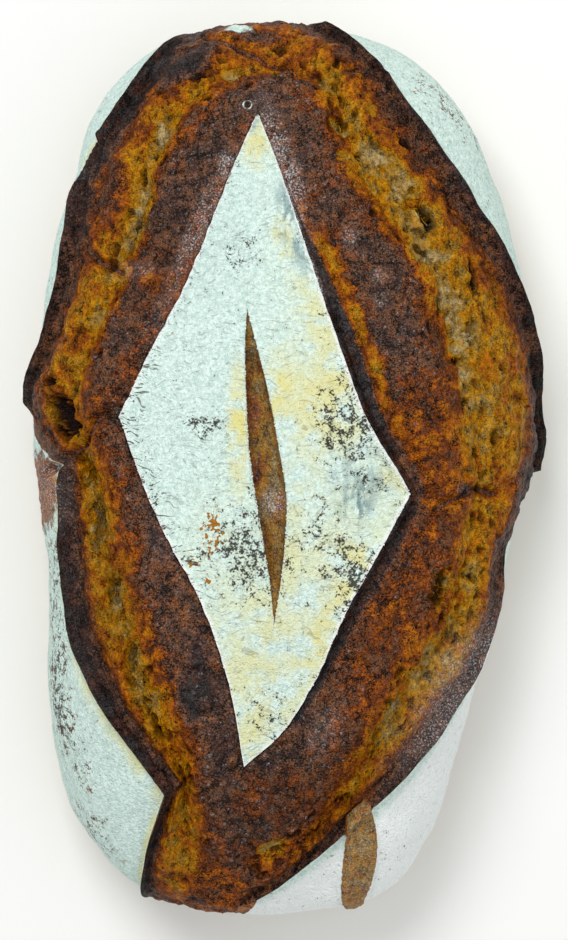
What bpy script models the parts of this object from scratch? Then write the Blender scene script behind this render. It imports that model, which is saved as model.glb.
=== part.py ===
"""A sourdough loaf: a long oval batard, floured, scored in a diamond and baked dark.

Lengths are millimetres until the mesh is made, which is in metres. The loaf lies along Y and
rests on Z = 0. Everything on its skin is drawn in plan, as seen from above, and then wrapped
over one smooth form: the floured diamond with its slash, the bloom where the crust tore open
round it, and the four ears, the hard lips of crust that curl up where the bloom ends.
"""
import math

import bpy
import numpy as np
from mathutils import Matrix, Vector

MM = 0.001

# The smooth form under everything
HALF_LENGTH = 139.0
HALF_WIDTH = 78.6
CROWN_HEIGHT = 92.5
GIRTH_HEIGHT = 33.0
PLAN_POWER = 2.4
DOME_POWER = 2.3
BASE_SHARE = 0.80
WAIST_SHARE = 0.07
WAIST_FROM, WAIST_FULL, WAIST_BACK, WAIST_GONE = 15.0, -35.0, -118.0, -136.0
LEAN_FAR_END, LEAN_NEAR_END = -1.0, -9.6
LEAN_POWER = 1.1
# Where the plan swells or draws in a little: direction and width in degrees, share of the reach
SWELLS = ((-125.0, 17.0, 0.052), (112.0, 13.0, 0.040), (66.0, 10.0, 0.020),
          (-24.0, 14.0, -0.020), (-48.0, 10.0, -0.045), (-68.0, 10.0, 0.050))

# How finely the skin is cut: steps round the loaf, and rings from the slash to the base
COLUMNS = 112
SLASH_WALL = ((0.50, 1.0), (0.15, 0.8), (0.00, 0.1))
DIAMOND_RINGS = (0.20, 0.45, 0.70, 0.90)
BLOOM_RINGS = (0.2, 0.4, 0.6, 0.8, 1.0)
OUTER_BLOOM_RINGS = (0.25, 0.50, 0.75)
EAR_RINGS = (-6.0, -4.2, -1.6, 0.0, 1.8, 5.0, 12.0)
SKIN_RINGS = (0.2, 0.4, 0.6, 0.8, 1.0)
UNDERSIDE_RING = 0.4

# Heights above the smooth form, and the widths that go with them
SLASH_DEPTH = 7.0
SLASH_LIP = 0.8
SLASH_LIP_WIDTH = 1.0
DIAMOND_RISE = 1.0
DIAMOND_STEP_WIDTH = 0.9
LIFTED_EDGE_RISE = 2.6
LIFTED_EDGE_WIDTH = 3.0
UNEVEN = 1.1
UPRIGHT = 0.5

# Plan outlines, clockwise from the far end. Each run lists the share of the way round at its
# two ends and the points between them, and a curve passes smoothly through those points.
SLASH = (
    (0.00, 0.50, ((-11, 48), (-7.4, 35), (-3.8, 22), (0, 3), (1, -9), (0, -24), (-1, -36), (-3, -43))),
    (0.50, 1.00, ((-3, -43), (-6, -25), (-10, -3), (-12, 21), (-12, 40), (-11, 48))),
)
DIAMOND = (
    (0.00, 0.25, ((-8, 108), (-2, 92), (4, 74), (16.6, 36), (24.2, 15), (36.6, -7))),
    (0.25, 0.50, ((36.6, -7), (27.8, -24), (19, -40), (7.6, -66), (0, -78), (-12, -89))),
    (0.50, 0.75, ((-12, -89), (-16, -66), (-24, -41), (-36, -18), (-41, -7), (-49, 16))),
    (0.75, 1.00, ((-49, 16), (-38, 39), (-32, 50), (-19, 81), (-14, 94), (-8, 108))),
)
TEAR = (
    (0.00, 0.25, ((3, 124), (14, 121), (18, 101), (30, 81), (47, 59), (51, 38), (58, 15), (60, -7))),
    (0.25, 0.50, ((60, -7), (56, -27), (50, -51), (35, -72), (20, -98), (5, -114), (-18, -123))),
    (0.50, 0.75, ((-18, -123), (-31, -112), (-30, -97), (-45, -63), (-54, -32), (-59, 0), (-63, 8))),
    (0.75, 1.00, ((-63, 8), (-64, 21), (-57, 42), (-45, 64), (-40, 92), (-32, 110), (-16, 121), (3, 124))),
)
EAR = (
    (0.015, 0.235, ((12, 137), (28, 124), (43, 105), (57, 85), (68, 66), (75, 46), (82, 22), (82, 0))),
    (0.235, 0.270, ((82, 0), (79, -8), (74, -16), (69, -23))),
    (0.270, 0.478, ((69, -23), (66, -40), (59, -61), (44, -83), (27, -101), (9, -118), (-14, -134))),
    (0.478, 0.522, ((-14, -134), (-22, -142), (-32, -142), (-42, -133))),
    (0.522, 0.570, ((-42, -133), (-41, -115), (-35, -97))),
    (0.570, 0.740, ((-35, -97), (-44, -85), (-56, -67), (-63, -50), (-68, -29), (-69, -9), (-68, 2))),
    (0.740, 0.765, ((-68, 2), (-74, 9), (-81, 19))),
    (0.765, 0.965, ((-81, 19), (-77, 43), (-69, 65), (-63, 84), (-55, 106), (-44, 122), (-36, 132))),
    (0.965, 1.015, ((-36, 132), (-22, 143), (-6, 145), (12, 137))),
)

# The compass angles, in degrees, at which the base edge meets the four quarters of the way round
BASE_ANGLES = (93.0, -5.0, -98.0, -186.0, -267.0)

# How strongly each ear curls, against the share of the way round
EAR_CURL = (
    (0.000, 0.0), (0.010, 0.0), (0.016, 0.8), (0.060, 0.9), (0.150, 1.0), (0.233, 1.2),
    (0.238, 0.0), (0.265, 0.0), (0.290, 0.6), (0.360, 0.7), (0.470, 0.5), (0.485, 0.0),
    (0.515, 0.0), (0.535, 0.8), (0.570, 0.9), (0.650, 1.1), (0.732, 1.1), (0.742, 0.0),
    (0.760, 0.0), (0.770, 0.9), (0.930, 0.9), (0.965, 0.6), (0.980, 0.0), (1.000, 0.0),
)

# How far the diamond's edge is lifted and charred, against the share of the way round
EDGE_LIFT = (
    (0.00, 0.0), (0.07, 0.35), (0.15, 0.6), (0.22, 0.8), (0.25, 1.0), (0.30, 0.8), (0.38, 0.4),
    (0.44, 0.0), (1.00, 0.0),
)

# Cross-sections, as a place and a height at it. The bloom runs from 0 at the diamond through 1
# at the tear to 2 at the ear, and the ear's places are distances outward from its crest.
BLOOM_PROFILE = (
    (0.0, -1.0), (0.25, 1.6), (0.55, 2.0), (0.8, 0.2), (1.0, -1.9), (1.2, 0.2), (1.5, 1.9),
    (1.8, 0.8), (2.0, 0.0),
)
EAR_PROFILE = (
    (-6.0, 0.0), (-4.6, -2.2), (-3.4, -2.0), (-1.2, 2.2), (0.0, 3.1), (1.5, 2.5), (3.5, 1.2),
    (7.0, 0.3), (12.0, 0.0),
)

# Open holes in the torn crumb: plan place, half sizes along and across, turn in degrees, depth
HOLES = (
    ((-68.0, 16.0), (7.2, 3.4), 75.0, 8.0),
    ((-69.5, 24.0), (3.6, 2.6), 90.0, 7.0),
    ((43.0, 75.0), (4.4, 2.0), -65.0, 6.0),
    ((37.0, 99.0), (2.3, 1.5), 0.0, 4.0),
    ((-57.0, -18.0), (5.6, 1.6), 80.0, 4.0),
    ((-52.0, -36.0), (5.0, 2.0), 75.0, 3.0),
)

CRUST_COLOUR = (0.30, 0.14, 0.05, 1.0)
CRUST_ROUGHNESS = 0.6


def smooth_step(start, end, value):
    """Rise from 0 at start to 1 at end, with no corner."""
    share = np.clip((value - start) / (end - start), 0.0, 1.0)
    return share * share * (3.0 - 2.0 * share)


def outline_reach(angle):
    """Distance from the middle to the girth in a direction."""
    across = np.abs(np.cos(angle)) / HALF_WIDTH
    along = np.abs(np.sin(angle)) / HALF_LENGTH
    reach = (across ** PLAN_POWER + along ** PLAN_POWER) ** (-1.0 / PLAN_POWER)
    swollen = 1.0
    for direction, width, share in SWELLS:
        off = np.remainder(np.degrees(angle) - direction + 180.0, 360.0) - 180.0
        swollen = swollen + share * np.exp(-(off / width) ** 2)
    return reach * swollen


def waist(y):
    """The loaf is a little slimmer towards its near end."""
    slim = smooth_step(WAIST_FROM, WAIST_FULL, y)
    back = smooth_step(WAIST_BACK, WAIST_GONE, y)
    return 1.0 - WAIST_SHARE * slim * (1.0 - back)


def lean(y):
    """Both ends drift to the left of the axis, the near end more."""
    near = np.clip(-y / HALF_LENGTH, 0.0, 1.1) ** LEAN_POWER
    far = smooth_step(0.65 * HALF_LENGTH, HALF_LENGTH, y)
    return LEAN_NEAR_END * near + LEAN_FAR_END * far


def half_section():
    """The waist section from crown to girth to base edge to the middle of the base.

    Returns the distance travelled along it, the share of the girth's reach and the height.
    """
    turn = np.linspace(0.0, math.pi / 2.0, 241)
    dome_share = np.sin(turn) ** (2.0 / DOME_POWER)
    dome_height = GIRTH_HEIGHT + (CROWN_HEIGHT - GIRTH_HEIGHT) * np.cos(turn) ** (2.0 / DOME_POWER)
    side_share = BASE_SHARE + (1.0 - BASE_SHARE) * np.cos(turn)
    side_height = GIRTH_HEIGHT * (1.0 - np.sin(turn))
    share = np.concatenate((dome_share, side_share[1:], (0.0,)))
    height = np.concatenate((dome_height, side_height[1:], (0.0,)))
    steps = np.hypot(np.diff(share) * HALF_WIDTH, np.diff(height))
    travel = np.concatenate(((0.0,), np.cumsum(steps)))
    return travel, share, height


TRAVEL, SHARE, HEIGHT = half_section()
GIRTH_INDEX = 240
GIRTH_TRAVEL = TRAVEL[GIRTH_INDEX]
BASE_TRAVEL = TRAVEL[-2]


def unroll(plan):
    """Plan points to the flat map that the rings are drawn on.

    A point past the girth's outline lies as far down the side as it is outside it.
    """
    y = plan[..., 1]
    x = (plan[..., 0] - lean(y)) / waist(y)
    angle = np.arctan2(y, x)
    reach = outline_reach(angle)
    share = np.hypot(x, y) / reach
    top = np.interp(share, SHARE[:GIRTH_INDEX + 1], TRAVEL[:GIRTH_INDEX + 1])
    travel = np.where(share < 1.0, top, GIRTH_TRAVEL + (share - 1.0) * HALF_WIDTH)
    radius = travel / HALF_WIDTH * reach
    return np.stack((radius * np.cos(angle), radius * np.sin(angle)), axis=-1)


def smooth_form(flat):
    """Wrap points of the flat map over the smooth form."""
    angle = np.arctan2(flat[..., 1], flat[..., 0])
    reach = outline_reach(angle)
    travel = np.hypot(flat[..., 0], flat[..., 1]) / reach * HALF_WIDTH
    share = np.interp(travel, TRAVEL, SHARE)
    y = share * reach * np.sin(angle)
    x = share * reach * np.cos(angle) * waist(y) + lean(y)
    return np.stack((x, y, np.interp(travel, TRAVEL, HEIGHT)), axis=-1)


def rise_way(flat, step=0.6):
    """Which way relief stands at points of the flat map: outward, and drawn upright on the top."""
    right, up = np.array((step, 0.0)), np.array((0.0, step))
    along_x = smooth_form(flat + right) - smooth_form(flat - right)
    along_y = smooth_form(flat + up) - smooth_form(flat - up)
    way = np.cross(along_x, along_y)
    way /= np.linalg.norm(way, axis=-1, keepdims=True)
    way[..., 2] += UPRIGHT * np.clip(1.0 + 2.0 * way[..., 2], 0.0, 1.0)
    return way / np.linalg.norm(way, axis=-1, keepdims=True)


def through(points, share):
    """A smooth curve through points, read at shares of its length."""
    knots = np.array(points, dtype=float)
    length = np.concatenate(((0.0,), np.cumsum(np.linalg.norm(np.diff(knots, axis=0), axis=1))))
    slope = np.gradient(knots, length, axis=0)
    place = share * length[-1]
    left = np.clip(np.searchsorted(length, place, side="right") - 1, 0, len(knots) - 2)
    gap = (length[left + 1] - length[left])[:, None]
    t = (place - length[left])[:, None] / gap
    start, end = knots[left], knots[left + 1]
    bend_start, bend_end = slope[left] * gap, slope[left + 1] * gap
    return ((2 * t ** 3 - 3 * t ** 2 + 1) * start + (t ** 3 - 2 * t ** 2 + t) * bend_start
            + (3 * t ** 2 - 2 * t ** 3) * end + (t ** 3 - t ** 2) * bend_end)


def closed_line(runs, around):
    """Read a closed plan outline, given as runs, at shares of the way round, on the flat map."""
    points = np.zeros((len(around), 2))
    for start, end, knots in runs:
        shifted = np.where(around < start, around + 1.0, around)
        inside = (shifted >= start) & (shifted < end)
        share = (shifted[inside] - start) / (end - start)
        points[inside] = through(unroll(np.array(knots, dtype=float)), share)
    return points


def table(pairs, place):
    """Read a table of places and values, with straight lines between them."""
    places, values = zip(*pairs)
    return np.interp(place, places, values)


def unevenness(flat):
    """Slow swells that no hand-shaped loaf is without."""
    x, y = flat[..., 0], flat[..., 1]
    return UNEVEN * (0.6 * np.sin(x / 23.0 + 0.7) * np.cos(y / 31.0 + 0.4)
                     + 0.4 * np.sin((x + y) / 14.0) * np.cos((x - 0.6 * y) / 17.0 + 1.0))


def between(start, end, share):
    """Points a share of the way from one line to another."""
    return start + (end - start) * share


def toward(start, end, distance):
    """Points a distance out from one line on the way to another."""
    way = end - start
    way /= np.linalg.norm(way, axis=1, keepdims=True)
    return start + way * np.reshape(distance, (-1, 1))


def base_line(around):
    """The edge of the flat underside, on the flat map."""
    quarters = np.linspace(0.0, 1.0, len(BASE_ANGLES))
    angle = np.radians(np.interp(around, quarters, BASE_ANGLES))
    radius = BASE_TRAVEL / HALF_WIDTH * outline_reach(angle)
    return np.stack((radius * np.cos(angle), radius * np.sin(angle)), axis=-1)


def slash_rings(slash):
    """From the bottom of the slash up its walls; the walls meet along the first ring."""
    far_wall = np.roll(slash[::-1], 1, axis=0)
    level = np.ones(len(slash))
    return [(between(slash, far_wall, share), level * -SLASH_DEPTH * depth)
            for share, depth in SLASH_WALL]


def diamond_rings(slash, diamond, lift):
    """The floured plate, with a lip at the slash and an edge lifted where it charred."""
    level = np.ones(len(slash))
    lip = toward(slash, diamond, level * SLASH_LIP_WIDTH)
    rings = [(lip, level * (DIAMOND_RISE + SLASH_LIP))]
    rings += [(between(slash, diamond, share), level * DIAMOND_RISE) for share in DIAMOND_RINGS]
    rings.append((diamond, DIAMOND_RISE + LIFTED_EDGE_RISE * lift))
    return rings


def bloom_rings(diamond, tear, ear, lift):
    """Torn crust: a ridge of old crust, the furrow of the tear, and the roll behind the ear."""
    level = np.ones(len(diamond))
    foot = toward(diamond, tear, DIAMOND_STEP_WIDTH + LIFTED_EDGE_WIDTH * lift)
    behind_ear = toward(ear, tear, level * -EAR_RINGS[0])
    rings = [(foot, level * table(BLOOM_PROFILE, 0.0))]
    rings += [(between(foot, tear, share), level * table(BLOOM_PROFILE, share))
              for share in BLOOM_RINGS]
    rings += [(between(tear, behind_ear, share), level * table(BLOOM_PROFILE, 1.0 + share))
              for share in OUTER_BLOOM_RINGS]
    return rings


def ear_rings(tear, ear, base, curl):
    """The valley behind the ear, its inner face, its crest and the skin just outside."""
    rings = []
    for distance in EAR_RINGS:
        other = tear if distance < 0.0 else base
        rings.append((toward(ear, other, np.full(len(ear), abs(distance))),
                      curl * table(EAR_PROFILE, distance)))
    return rings


def skin_rings(skin, base):
    """Down the side, round the base edge and part of the way under."""
    level = np.zeros(len(skin))
    rings = [(between(skin, base, share), level) for share in SKIN_RINGS]
    under = between(BASE_TRAVEL, TRAVEL[-1], UNDERSIDE_RING) / BASE_TRAVEL
    rings.append((base * under, level))
    return rings


def all_rings():
    """Every ring from the slash's floor out and down to the underside."""
    around = np.arange(COLUMNS) / COLUMNS
    slash, diamond, tear, ear = (closed_line(runs, around) for runs in (SLASH, DIAMOND, TEAR, EAR))
    base = base_line(around)
    lift = table(EDGE_LIFT, around)
    rings = slash_rings(slash) + diamond_rings(slash, diamond, lift)
    rings += bloom_rings(diamond, tear, ear, lift)
    rings += ear_rings(tear, ear, base, table(EAR_CURL, around))
    rings += skin_rings(rings[-1][0], base)
    return rings


def loaf_mesh():
    """Join the rings into one closed skin: zipped down the slash, and fanned under the base."""
    rings = all_rings()
    flat = np.stack([ring[0] for ring in rings])
    height = np.stack([ring[1] for ring in rings])
    smooth = smooth_form(flat)
    height += unevenness(flat) * smooth_step(0.0, GIRTH_HEIGHT, smooth[..., 2])
    points = smooth + rise_way(flat) * height[..., None]
    points[..., 2] = np.maximum(points[..., 2], 0.0)

    floor_points = COLUMNS // 2 + 1
    underside_middle = np.zeros((1, 3))
    vertices = np.concatenate((points[0, :floor_points], points[1:].reshape(-1, 3), underside_middle))

    def index(row, column):
        column %= COLUMNS
        if row == 0:
            return min(column, COLUMNS - column)
        return floor_points + (row - 1) * COLUMNS + column

    faces = []
    last = len(rings) - 1
    for column in range(COLUMNS):
        for row in range(last):
            faces.append((index(row, column), index(row, column + 1),
                          index(row + 1, column + 1), index(row + 1, column)))
        faces.append((index(last, column), index(last, column + 1), len(vertices) - 1))
    mesh = bpy.data.meshes.new("loaf")
    mesh.from_pydata(vertices * MM, [], faces)
    return mesh


def hole_cutter(place, half_sizes, turn, depth):
    """A flattened ball set into the torn crumb, lying in the surface there."""
    flat = unroll(np.array(place))
    middle = Vector(smooth_form(flat) * MM)
    normal = Vector(rise_way(flat))
    bpy.ops.mesh.primitive_ico_sphere_add(subdivisions=2, radius=1.0)
    cutter = bpy.context.active_object
    along = Vector((math.cos(math.radians(turn)), math.sin(math.radians(turn)), 0.0))
    across = normal.cross(along).normalized()
    along = across.cross(normal)
    sized = (along * half_sizes[0] * MM, across * half_sizes[1] * MM, normal * depth * MM)
    cutter.matrix_world = Matrix.Translation(middle) @ Matrix(sized).transposed().to_4x4()
    cutter.name = "hole_cutter"
    cutter.hide_render = True
    cutter.display_type = "WIRE"
    return cutter


def crust_material():
    """Dark baked crust; the flour is a finish and not a shape."""
    material = bpy.data.materials.new("baked_crust")
    material.use_nodes = True
    shader = material.node_tree.nodes["Principled BSDF"]
    shader.inputs["Base Color"].default_value = CRUST_COLOUR
    shader.inputs["Roughness"].default_value = CRUST_ROUGHNESS
    shader.inputs["Metallic"].default_value = 0.0
    return material


def build_loaf():
    """The loaf with its open holes cut."""
    loaf = bpy.data.objects.new("loaf", loaf_mesh())
    bpy.context.collection.objects.link(loaf)
    loaf.data.materials.append(crust_material())
    for number, hole in enumerate(HOLES):
        cut = loaf.modifiers.new(f"hole_{number}", "BOOLEAN")
        cut.operation = "DIFFERENCE"
        cut.object = hole_cutter(*hole)
    return loaf


for old in list(bpy.data.objects):
    bpy.data.objects.remove(old, do_unlink=True)
build_loaf()
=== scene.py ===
# %% [markdown]
# # A sourdough loaf
#
# This is a hand-shaped batard: a long oval loaf that was floured on top, cut in a diamond with a
# blade and baked dark. The plate of crust inside the diamond stayed under its flour. Outside it
# the dough burst open, and the four cuts became ears, hard dark lips that curl up over the bloom.
#
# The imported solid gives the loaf's place and size. Everything here is made in the same frame, in
# millimetres until a mesh is made, so nothing has to be fitted afterwards.

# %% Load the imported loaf
import math

import bpy
import numpy as np
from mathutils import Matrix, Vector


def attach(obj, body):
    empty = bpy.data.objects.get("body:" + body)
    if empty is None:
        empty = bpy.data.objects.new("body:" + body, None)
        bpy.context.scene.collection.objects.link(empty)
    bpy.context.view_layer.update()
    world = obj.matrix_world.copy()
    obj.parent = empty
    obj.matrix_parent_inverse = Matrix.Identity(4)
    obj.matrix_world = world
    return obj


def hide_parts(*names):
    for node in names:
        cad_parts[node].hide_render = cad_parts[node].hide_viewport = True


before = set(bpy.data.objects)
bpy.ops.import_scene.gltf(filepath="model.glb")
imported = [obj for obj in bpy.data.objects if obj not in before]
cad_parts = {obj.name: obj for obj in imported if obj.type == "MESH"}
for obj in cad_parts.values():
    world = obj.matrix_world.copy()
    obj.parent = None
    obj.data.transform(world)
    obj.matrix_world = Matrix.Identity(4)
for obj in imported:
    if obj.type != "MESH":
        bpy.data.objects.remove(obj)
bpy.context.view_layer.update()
MM = 0.001

# %% [markdown]
# ## The smooth form
#
# A loaf is a soft shape, so it could be sculpted or subdivided from a box. But every cut and ear
# here is placed by where it shows from above, so the form is written as a rule instead: an oval
# plan, slimmer and leaning to the left at its near end, and one half section from the crown over
# the girth to the flat base. A flat map is wrapped over it, and all detail is drawn on that map.

# %% The loaf's driving sizes
HALF_LENGTH = 139
HALF_WIDTH = 78.6
CROWN_HEIGHT = 92.5
GIRTH_HEIGHT = 33
PLAN_POWER = 2.4
DOME_POWER = 2.3
BASE_SHARE = 0.80
WAIST_SHARE = 0.07
WAIST_FROM, WAIST_FULL, WAIST_BACK, WAIST_GONE = 15, -35, -118, -136
LEAN_FAR_END, LEAN_NEAR_END = -1, -9.6
LEAN_POWER = 1.1
SWELLS = ((-125, 17, 0.052), (112, 13, 0.040), (66, 10, 0.020),
          (-24, 14, -0.020), (-48, 10, -0.045), (-68, 10, 0.050))
UPRIGHT = 0.5
print("half length, half width and crown, mm:", HALF_LENGTH, HALF_WIDTH, CROWN_HEIGHT)


def smooth_step(start, end, value):
    """Rise from 0 at start to 1 at end, with no corner."""
    share = np.clip((value - start) / (end - start), 0, 1)
    return share * share * (3 - 2 * share)


def peak(value, middle, width):
    """1 at the middle, falling away smoothly over a width on both sides."""
    return np.exp(-((value - middle) / width) ** 2)


def outline_reach(angle):
    """Distance from the middle to the girth in a direction."""
    across = np.abs(np.cos(angle)) / HALF_WIDTH
    along = np.abs(np.sin(angle)) / HALF_LENGTH
    reach = (across ** PLAN_POWER + along ** PLAN_POWER) ** (-1 / PLAN_POWER)
    swollen = 1
    for direction, width, share in SWELLS:
        off = np.remainder(np.degrees(angle) - direction + 180, 360) - 180
        swollen = swollen + share * peak(off, 0, width)
    return reach * swollen


def waist(y):
    """The loaf is a little slimmer towards its near end."""
    slim = smooth_step(WAIST_FROM, WAIST_FULL, y)
    back = smooth_step(WAIST_BACK, WAIST_GONE, y)
    return 1 - WAIST_SHARE * slim * (1 - back)


def lean(y):
    """Both ends drift to the left of the axis, the near end more."""
    near = np.clip(-y / HALF_LENGTH, 0, 1.1) ** LEAN_POWER
    far = smooth_step(0.65 * HALF_LENGTH, HALF_LENGTH, y)
    return LEAN_NEAR_END * near + LEAN_FAR_END * far


# %% Half of the section at the waist, from the crown round to the middle of the base
SECTION_STEPS = 240


def half_section():
    """Distance travelled from the crown, share of the girth's reach, and height."""
    turn = np.linspace(0, math.pi / 2, SECTION_STEPS + 1)
    dome_share = np.sin(turn) ** (2 / DOME_POWER)
    dome_height = GIRTH_HEIGHT + (CROWN_HEIGHT - GIRTH_HEIGHT) * np.cos(turn) ** (2 / DOME_POWER)
    side_share = BASE_SHARE + (1 - BASE_SHARE) * np.cos(turn)
    side_height = GIRTH_HEIGHT * (1 - np.sin(turn))
    share = np.concatenate((dome_share, side_share[1:], (0,)))
    height = np.concatenate((dome_height, side_height[1:], (0,)))
    steps = np.hypot(np.diff(share) * HALF_WIDTH, np.diff(height))
    return np.concatenate(((0,), np.cumsum(steps))), share, height


TRAVEL, SHARE, HEIGHT = half_section()
GIRTH_TRAVEL = TRAVEL[SECTION_STEPS]
BASE_TRAVEL = TRAVEL[-2]
print("crown to girth over the crust, mm:", round(GIRTH_TRAVEL, 1))

# %% [markdown]
# The map is unrolled like an orange's peel: a point keeps its direction from the middle, and its
# distance is the way travelled over the crust. A point typed outside the girth's outline lies as
# far down the side as it is outside, so the outlines below can run over the loaf's edge.

# %% Between plan, flat map and form


def unroll(plan):
    """Plan points to the flat map."""
    y = plan[..., 1]
    x = (plan[..., 0] - lean(y)) / waist(y)
    angle = np.arctan2(y, x)
    reach = outline_reach(angle)
    share = np.hypot(x, y) / reach
    top = np.interp(share, SHARE[:SECTION_STEPS + 1], TRAVEL[:SECTION_STEPS + 1])
    travel = np.where(share < 1, top, GIRTH_TRAVEL + (share - 1) * HALF_WIDTH)
    radius = travel / HALF_WIDTH * reach
    return np.stack((radius * np.cos(angle), radius * np.sin(angle)), axis=-1)


def smooth_form(flat):
    """Wrap points of the flat map over the smooth form."""
    angle = np.arctan2(flat[..., 1], flat[..., 0])
    reach = outline_reach(angle)
    travel = np.hypot(flat[..., 0], flat[..., 1]) / reach * HALF_WIDTH
    share = np.interp(travel, TRAVEL, SHARE)
    y = share * reach * np.sin(angle)
    x = share * reach * np.cos(angle) * waist(y) + lean(y)
    return np.stack((x, y, np.interp(travel, TRAVEL, HEIGHT)), axis=-1)


def rise_way(flat, step=0.6):
    """Which way relief stands: outward, and drawn upright on the top."""
    right, up = np.array((step, 0)), np.array((0, step))
    along_x = smooth_form(flat + right) - smooth_form(flat - right)
    along_y = smooth_form(flat + up) - smooth_form(flat - up)
    way = np.cross(along_x, along_y)
    way /= np.linalg.norm(way, axis=-1, keepdims=True)
    way[..., 2] += UPRIGHT * np.clip(1 + 2 * way[..., 2], 0, 1)
    return way / np.linalg.norm(way, axis=-1, keepdims=True)


# %% [markdown]
# ## The lines that the blade and the oven drew
#
# Four closed lines carry the whole skin: the slash's edge, the diamond, the tear where the crumb
# shows palest, and the crest of the ears. Each is a few points given in plan, with a smooth curve
# through them and a sharp corner where two runs meet, as where two cuts cross.

# %% The lines in plan, in millimetres, clockwise from the far end
SLASH = (
    (0, 0.5, ((-11, 48), (-8.1, 37), (-4.4, 22), (-0.7, 2), (0.8, -9), (0.4, -20), (-1.2, -35),
        (-3, -46))),
    (0.5, 1, ((-3, -46), (-4, -35), (-6.4, -20), (-9.6, 0), (-11.2, 22), (-11.6, 38), (-11, 48))),
)
DIAMOND = (
    (0, 0.25, ((-8, 108), (-2, 92), (4, 74), (16.6, 36), (24.2, 15), (36.6, -7))),
    (0.25, 0.5, ((36.6, -7), (27.8, -24), (19, -40), (7.6, -66), (0, -78), (-12, -89))),
    (0.5, 0.75, ((-12, -89), (-16, -66), (-24, -41), (-36, -18), (-41, -7), (-49, 16))),
    (0.75, 1, ((-49, 16), (-38, 39), (-32, 50), (-19, 81), (-14, 94), (-8, 108))),
)
TEAR = (
    (0, 0.25, ((3, 124), (12, 118), (20, 101), (31, 81), (46, 59), (52, 38), (58, 15), (60, -7))),
    (0.25, 0.5, ((60, -7), (56, -27), (50, -51), (35, -72), (20, -98), (5, -114), (-18, -123))),
    (0.5, 0.75, ((-18, -123), (-31, -112), (-30, -97), (-45, -63), (-54, -32), (-59, 0), (-63, 8))),
    (0.75, 1, ((-63, 8), (-64, 21), (-57.5, 42), (-47.5, 64), (-40.5, 92), (-32, 110), (-16, 121),
        (3, 124))),
)
EAR = (
    (0.015, 0.235, ((12, 137), (28, 123), (42, 104), (54.5, 85), (65.5, 66), (73.5, 46), (81, 22),
        (82, 0))),
    (0.235, 0.27, ((82, 0), (79, -8), (74, -16), (69, -23))),
    (0.27, 0.478, ((69, -23), (66, -40), (59, -61), (44, -83), (27, -101), (9, -118), (-14, -134))),
    (0.478, 0.522, ((-14, -134), (-22, -142), (-32, -142), (-42, -133))),
    (0.522, 0.57, ((-42, -133), (-41, -115), (-35, -97))),
    (0.57, 0.74, ((-35, -97), (-44, -85), (-56, -67), (-63, -50), (-66, -29), (-67, -9), (-67, 2))),
    (0.74, 0.765, ((-67, 2), (-73, 9), (-79.5, 19))),
    (0.765, 0.965, ((-79.5, 19), (-73, 41), (-66, 66), (-62, 87), (-53, 106), (-44, 120),
        (-36, 131))),
    (0.965, 1.015, ((-36, 131), (-22, 142), (-6, 144), (12, 137))),
)
BASE_ANGLES = (93, -5, -98, -186, -267)
print("runs in the four lines:", [len(line) for line in (SLASH, DIAMOND, TEAR, EAR)])

# %% Reading the lines
COLUMNS = 960
around = np.arange(COLUMNS) / COLUMNS


def curve(t, gap, values, slope, left):
    """A smooth curve from one knot to the next, with the slopes given at the knots."""
    start, end = values[left], values[left + 1]
    bend_start, bend_end = slope[left] * gap, slope[left + 1] * gap
    return ((2 * t ** 3 - 3 * t ** 2 + 1) * start + (t ** 3 - 2 * t ** 2 + t) * bend_start
            + (3 * t ** 2 - 2 * t ** 3) * end + (t ** 3 - t ** 2) * bend_end)


def interval(places, place):
    """Which interval of a table each place falls in."""
    return np.clip(np.searchsorted(places, place, side="right") - 1, 0, len(places) - 2)


def through(points, share):
    """A smooth curve through points, read at shares of its length."""
    knots = np.array(points, dtype=float)
    length = np.concatenate(((0,), np.cumsum(np.linalg.norm(np.diff(knots, axis=0), axis=1))))
    place = share * length[-1]
    left = interval(length, place)
    gap = (length[left + 1] - length[left])[:, None]
    t = (place - length[left])[:, None] / gap
    return curve(t, gap, knots, np.gradient(knots, length, axis=0), left)


def closed_line(runs):
    """One point of a closed line for each column, on the flat map."""
    points = np.zeros((COLUMNS, 2))
    for start, end, knots in runs:
        shifted = np.where(around < start, around + 1, around)
        inside = (shifted >= start) & (shifted < end)
        share = (shifted[inside] - start) / (end - start)
        points[inside] = through(unroll(np.array(knots, dtype=float)), share)
    return points


def base_line():
    """The edge of the flat underside, on the flat map."""
    quarters = np.linspace(0, 1, len(BASE_ANGLES))
    angle = np.radians(np.interp(around, quarters, BASE_ANGLES))
    radius = BASE_TRAVEL / HALF_WIDTH * outline_reach(angle)
    return np.stack((radius * np.cos(angle), radius * np.sin(angle)), axis=-1)


slash_line, diamond_line, tear_line, ear_line = map(closed_line, (SLASH, DIAMOND, TEAR, EAR))
wobble = np.sin(around * 311) + np.sin(around * 173 + 2) + np.sin(around * 547 + 1)
diamond_line *= 1 + 0.0018 * wobble[:, None] * np.abs(np.sin(4 * math.pi * around))[:, None]
base_edge = base_line()
print("columns round the loaf:", COLUMNS)

# %% [markdown]
# Tables say how the skin changes on the way round and across. Most are read with a smooth curve,
# because straight lines would leave a crease at each entry. The ears' curl is read with straight
# lines, so that an ear stops short at a gap.

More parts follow.
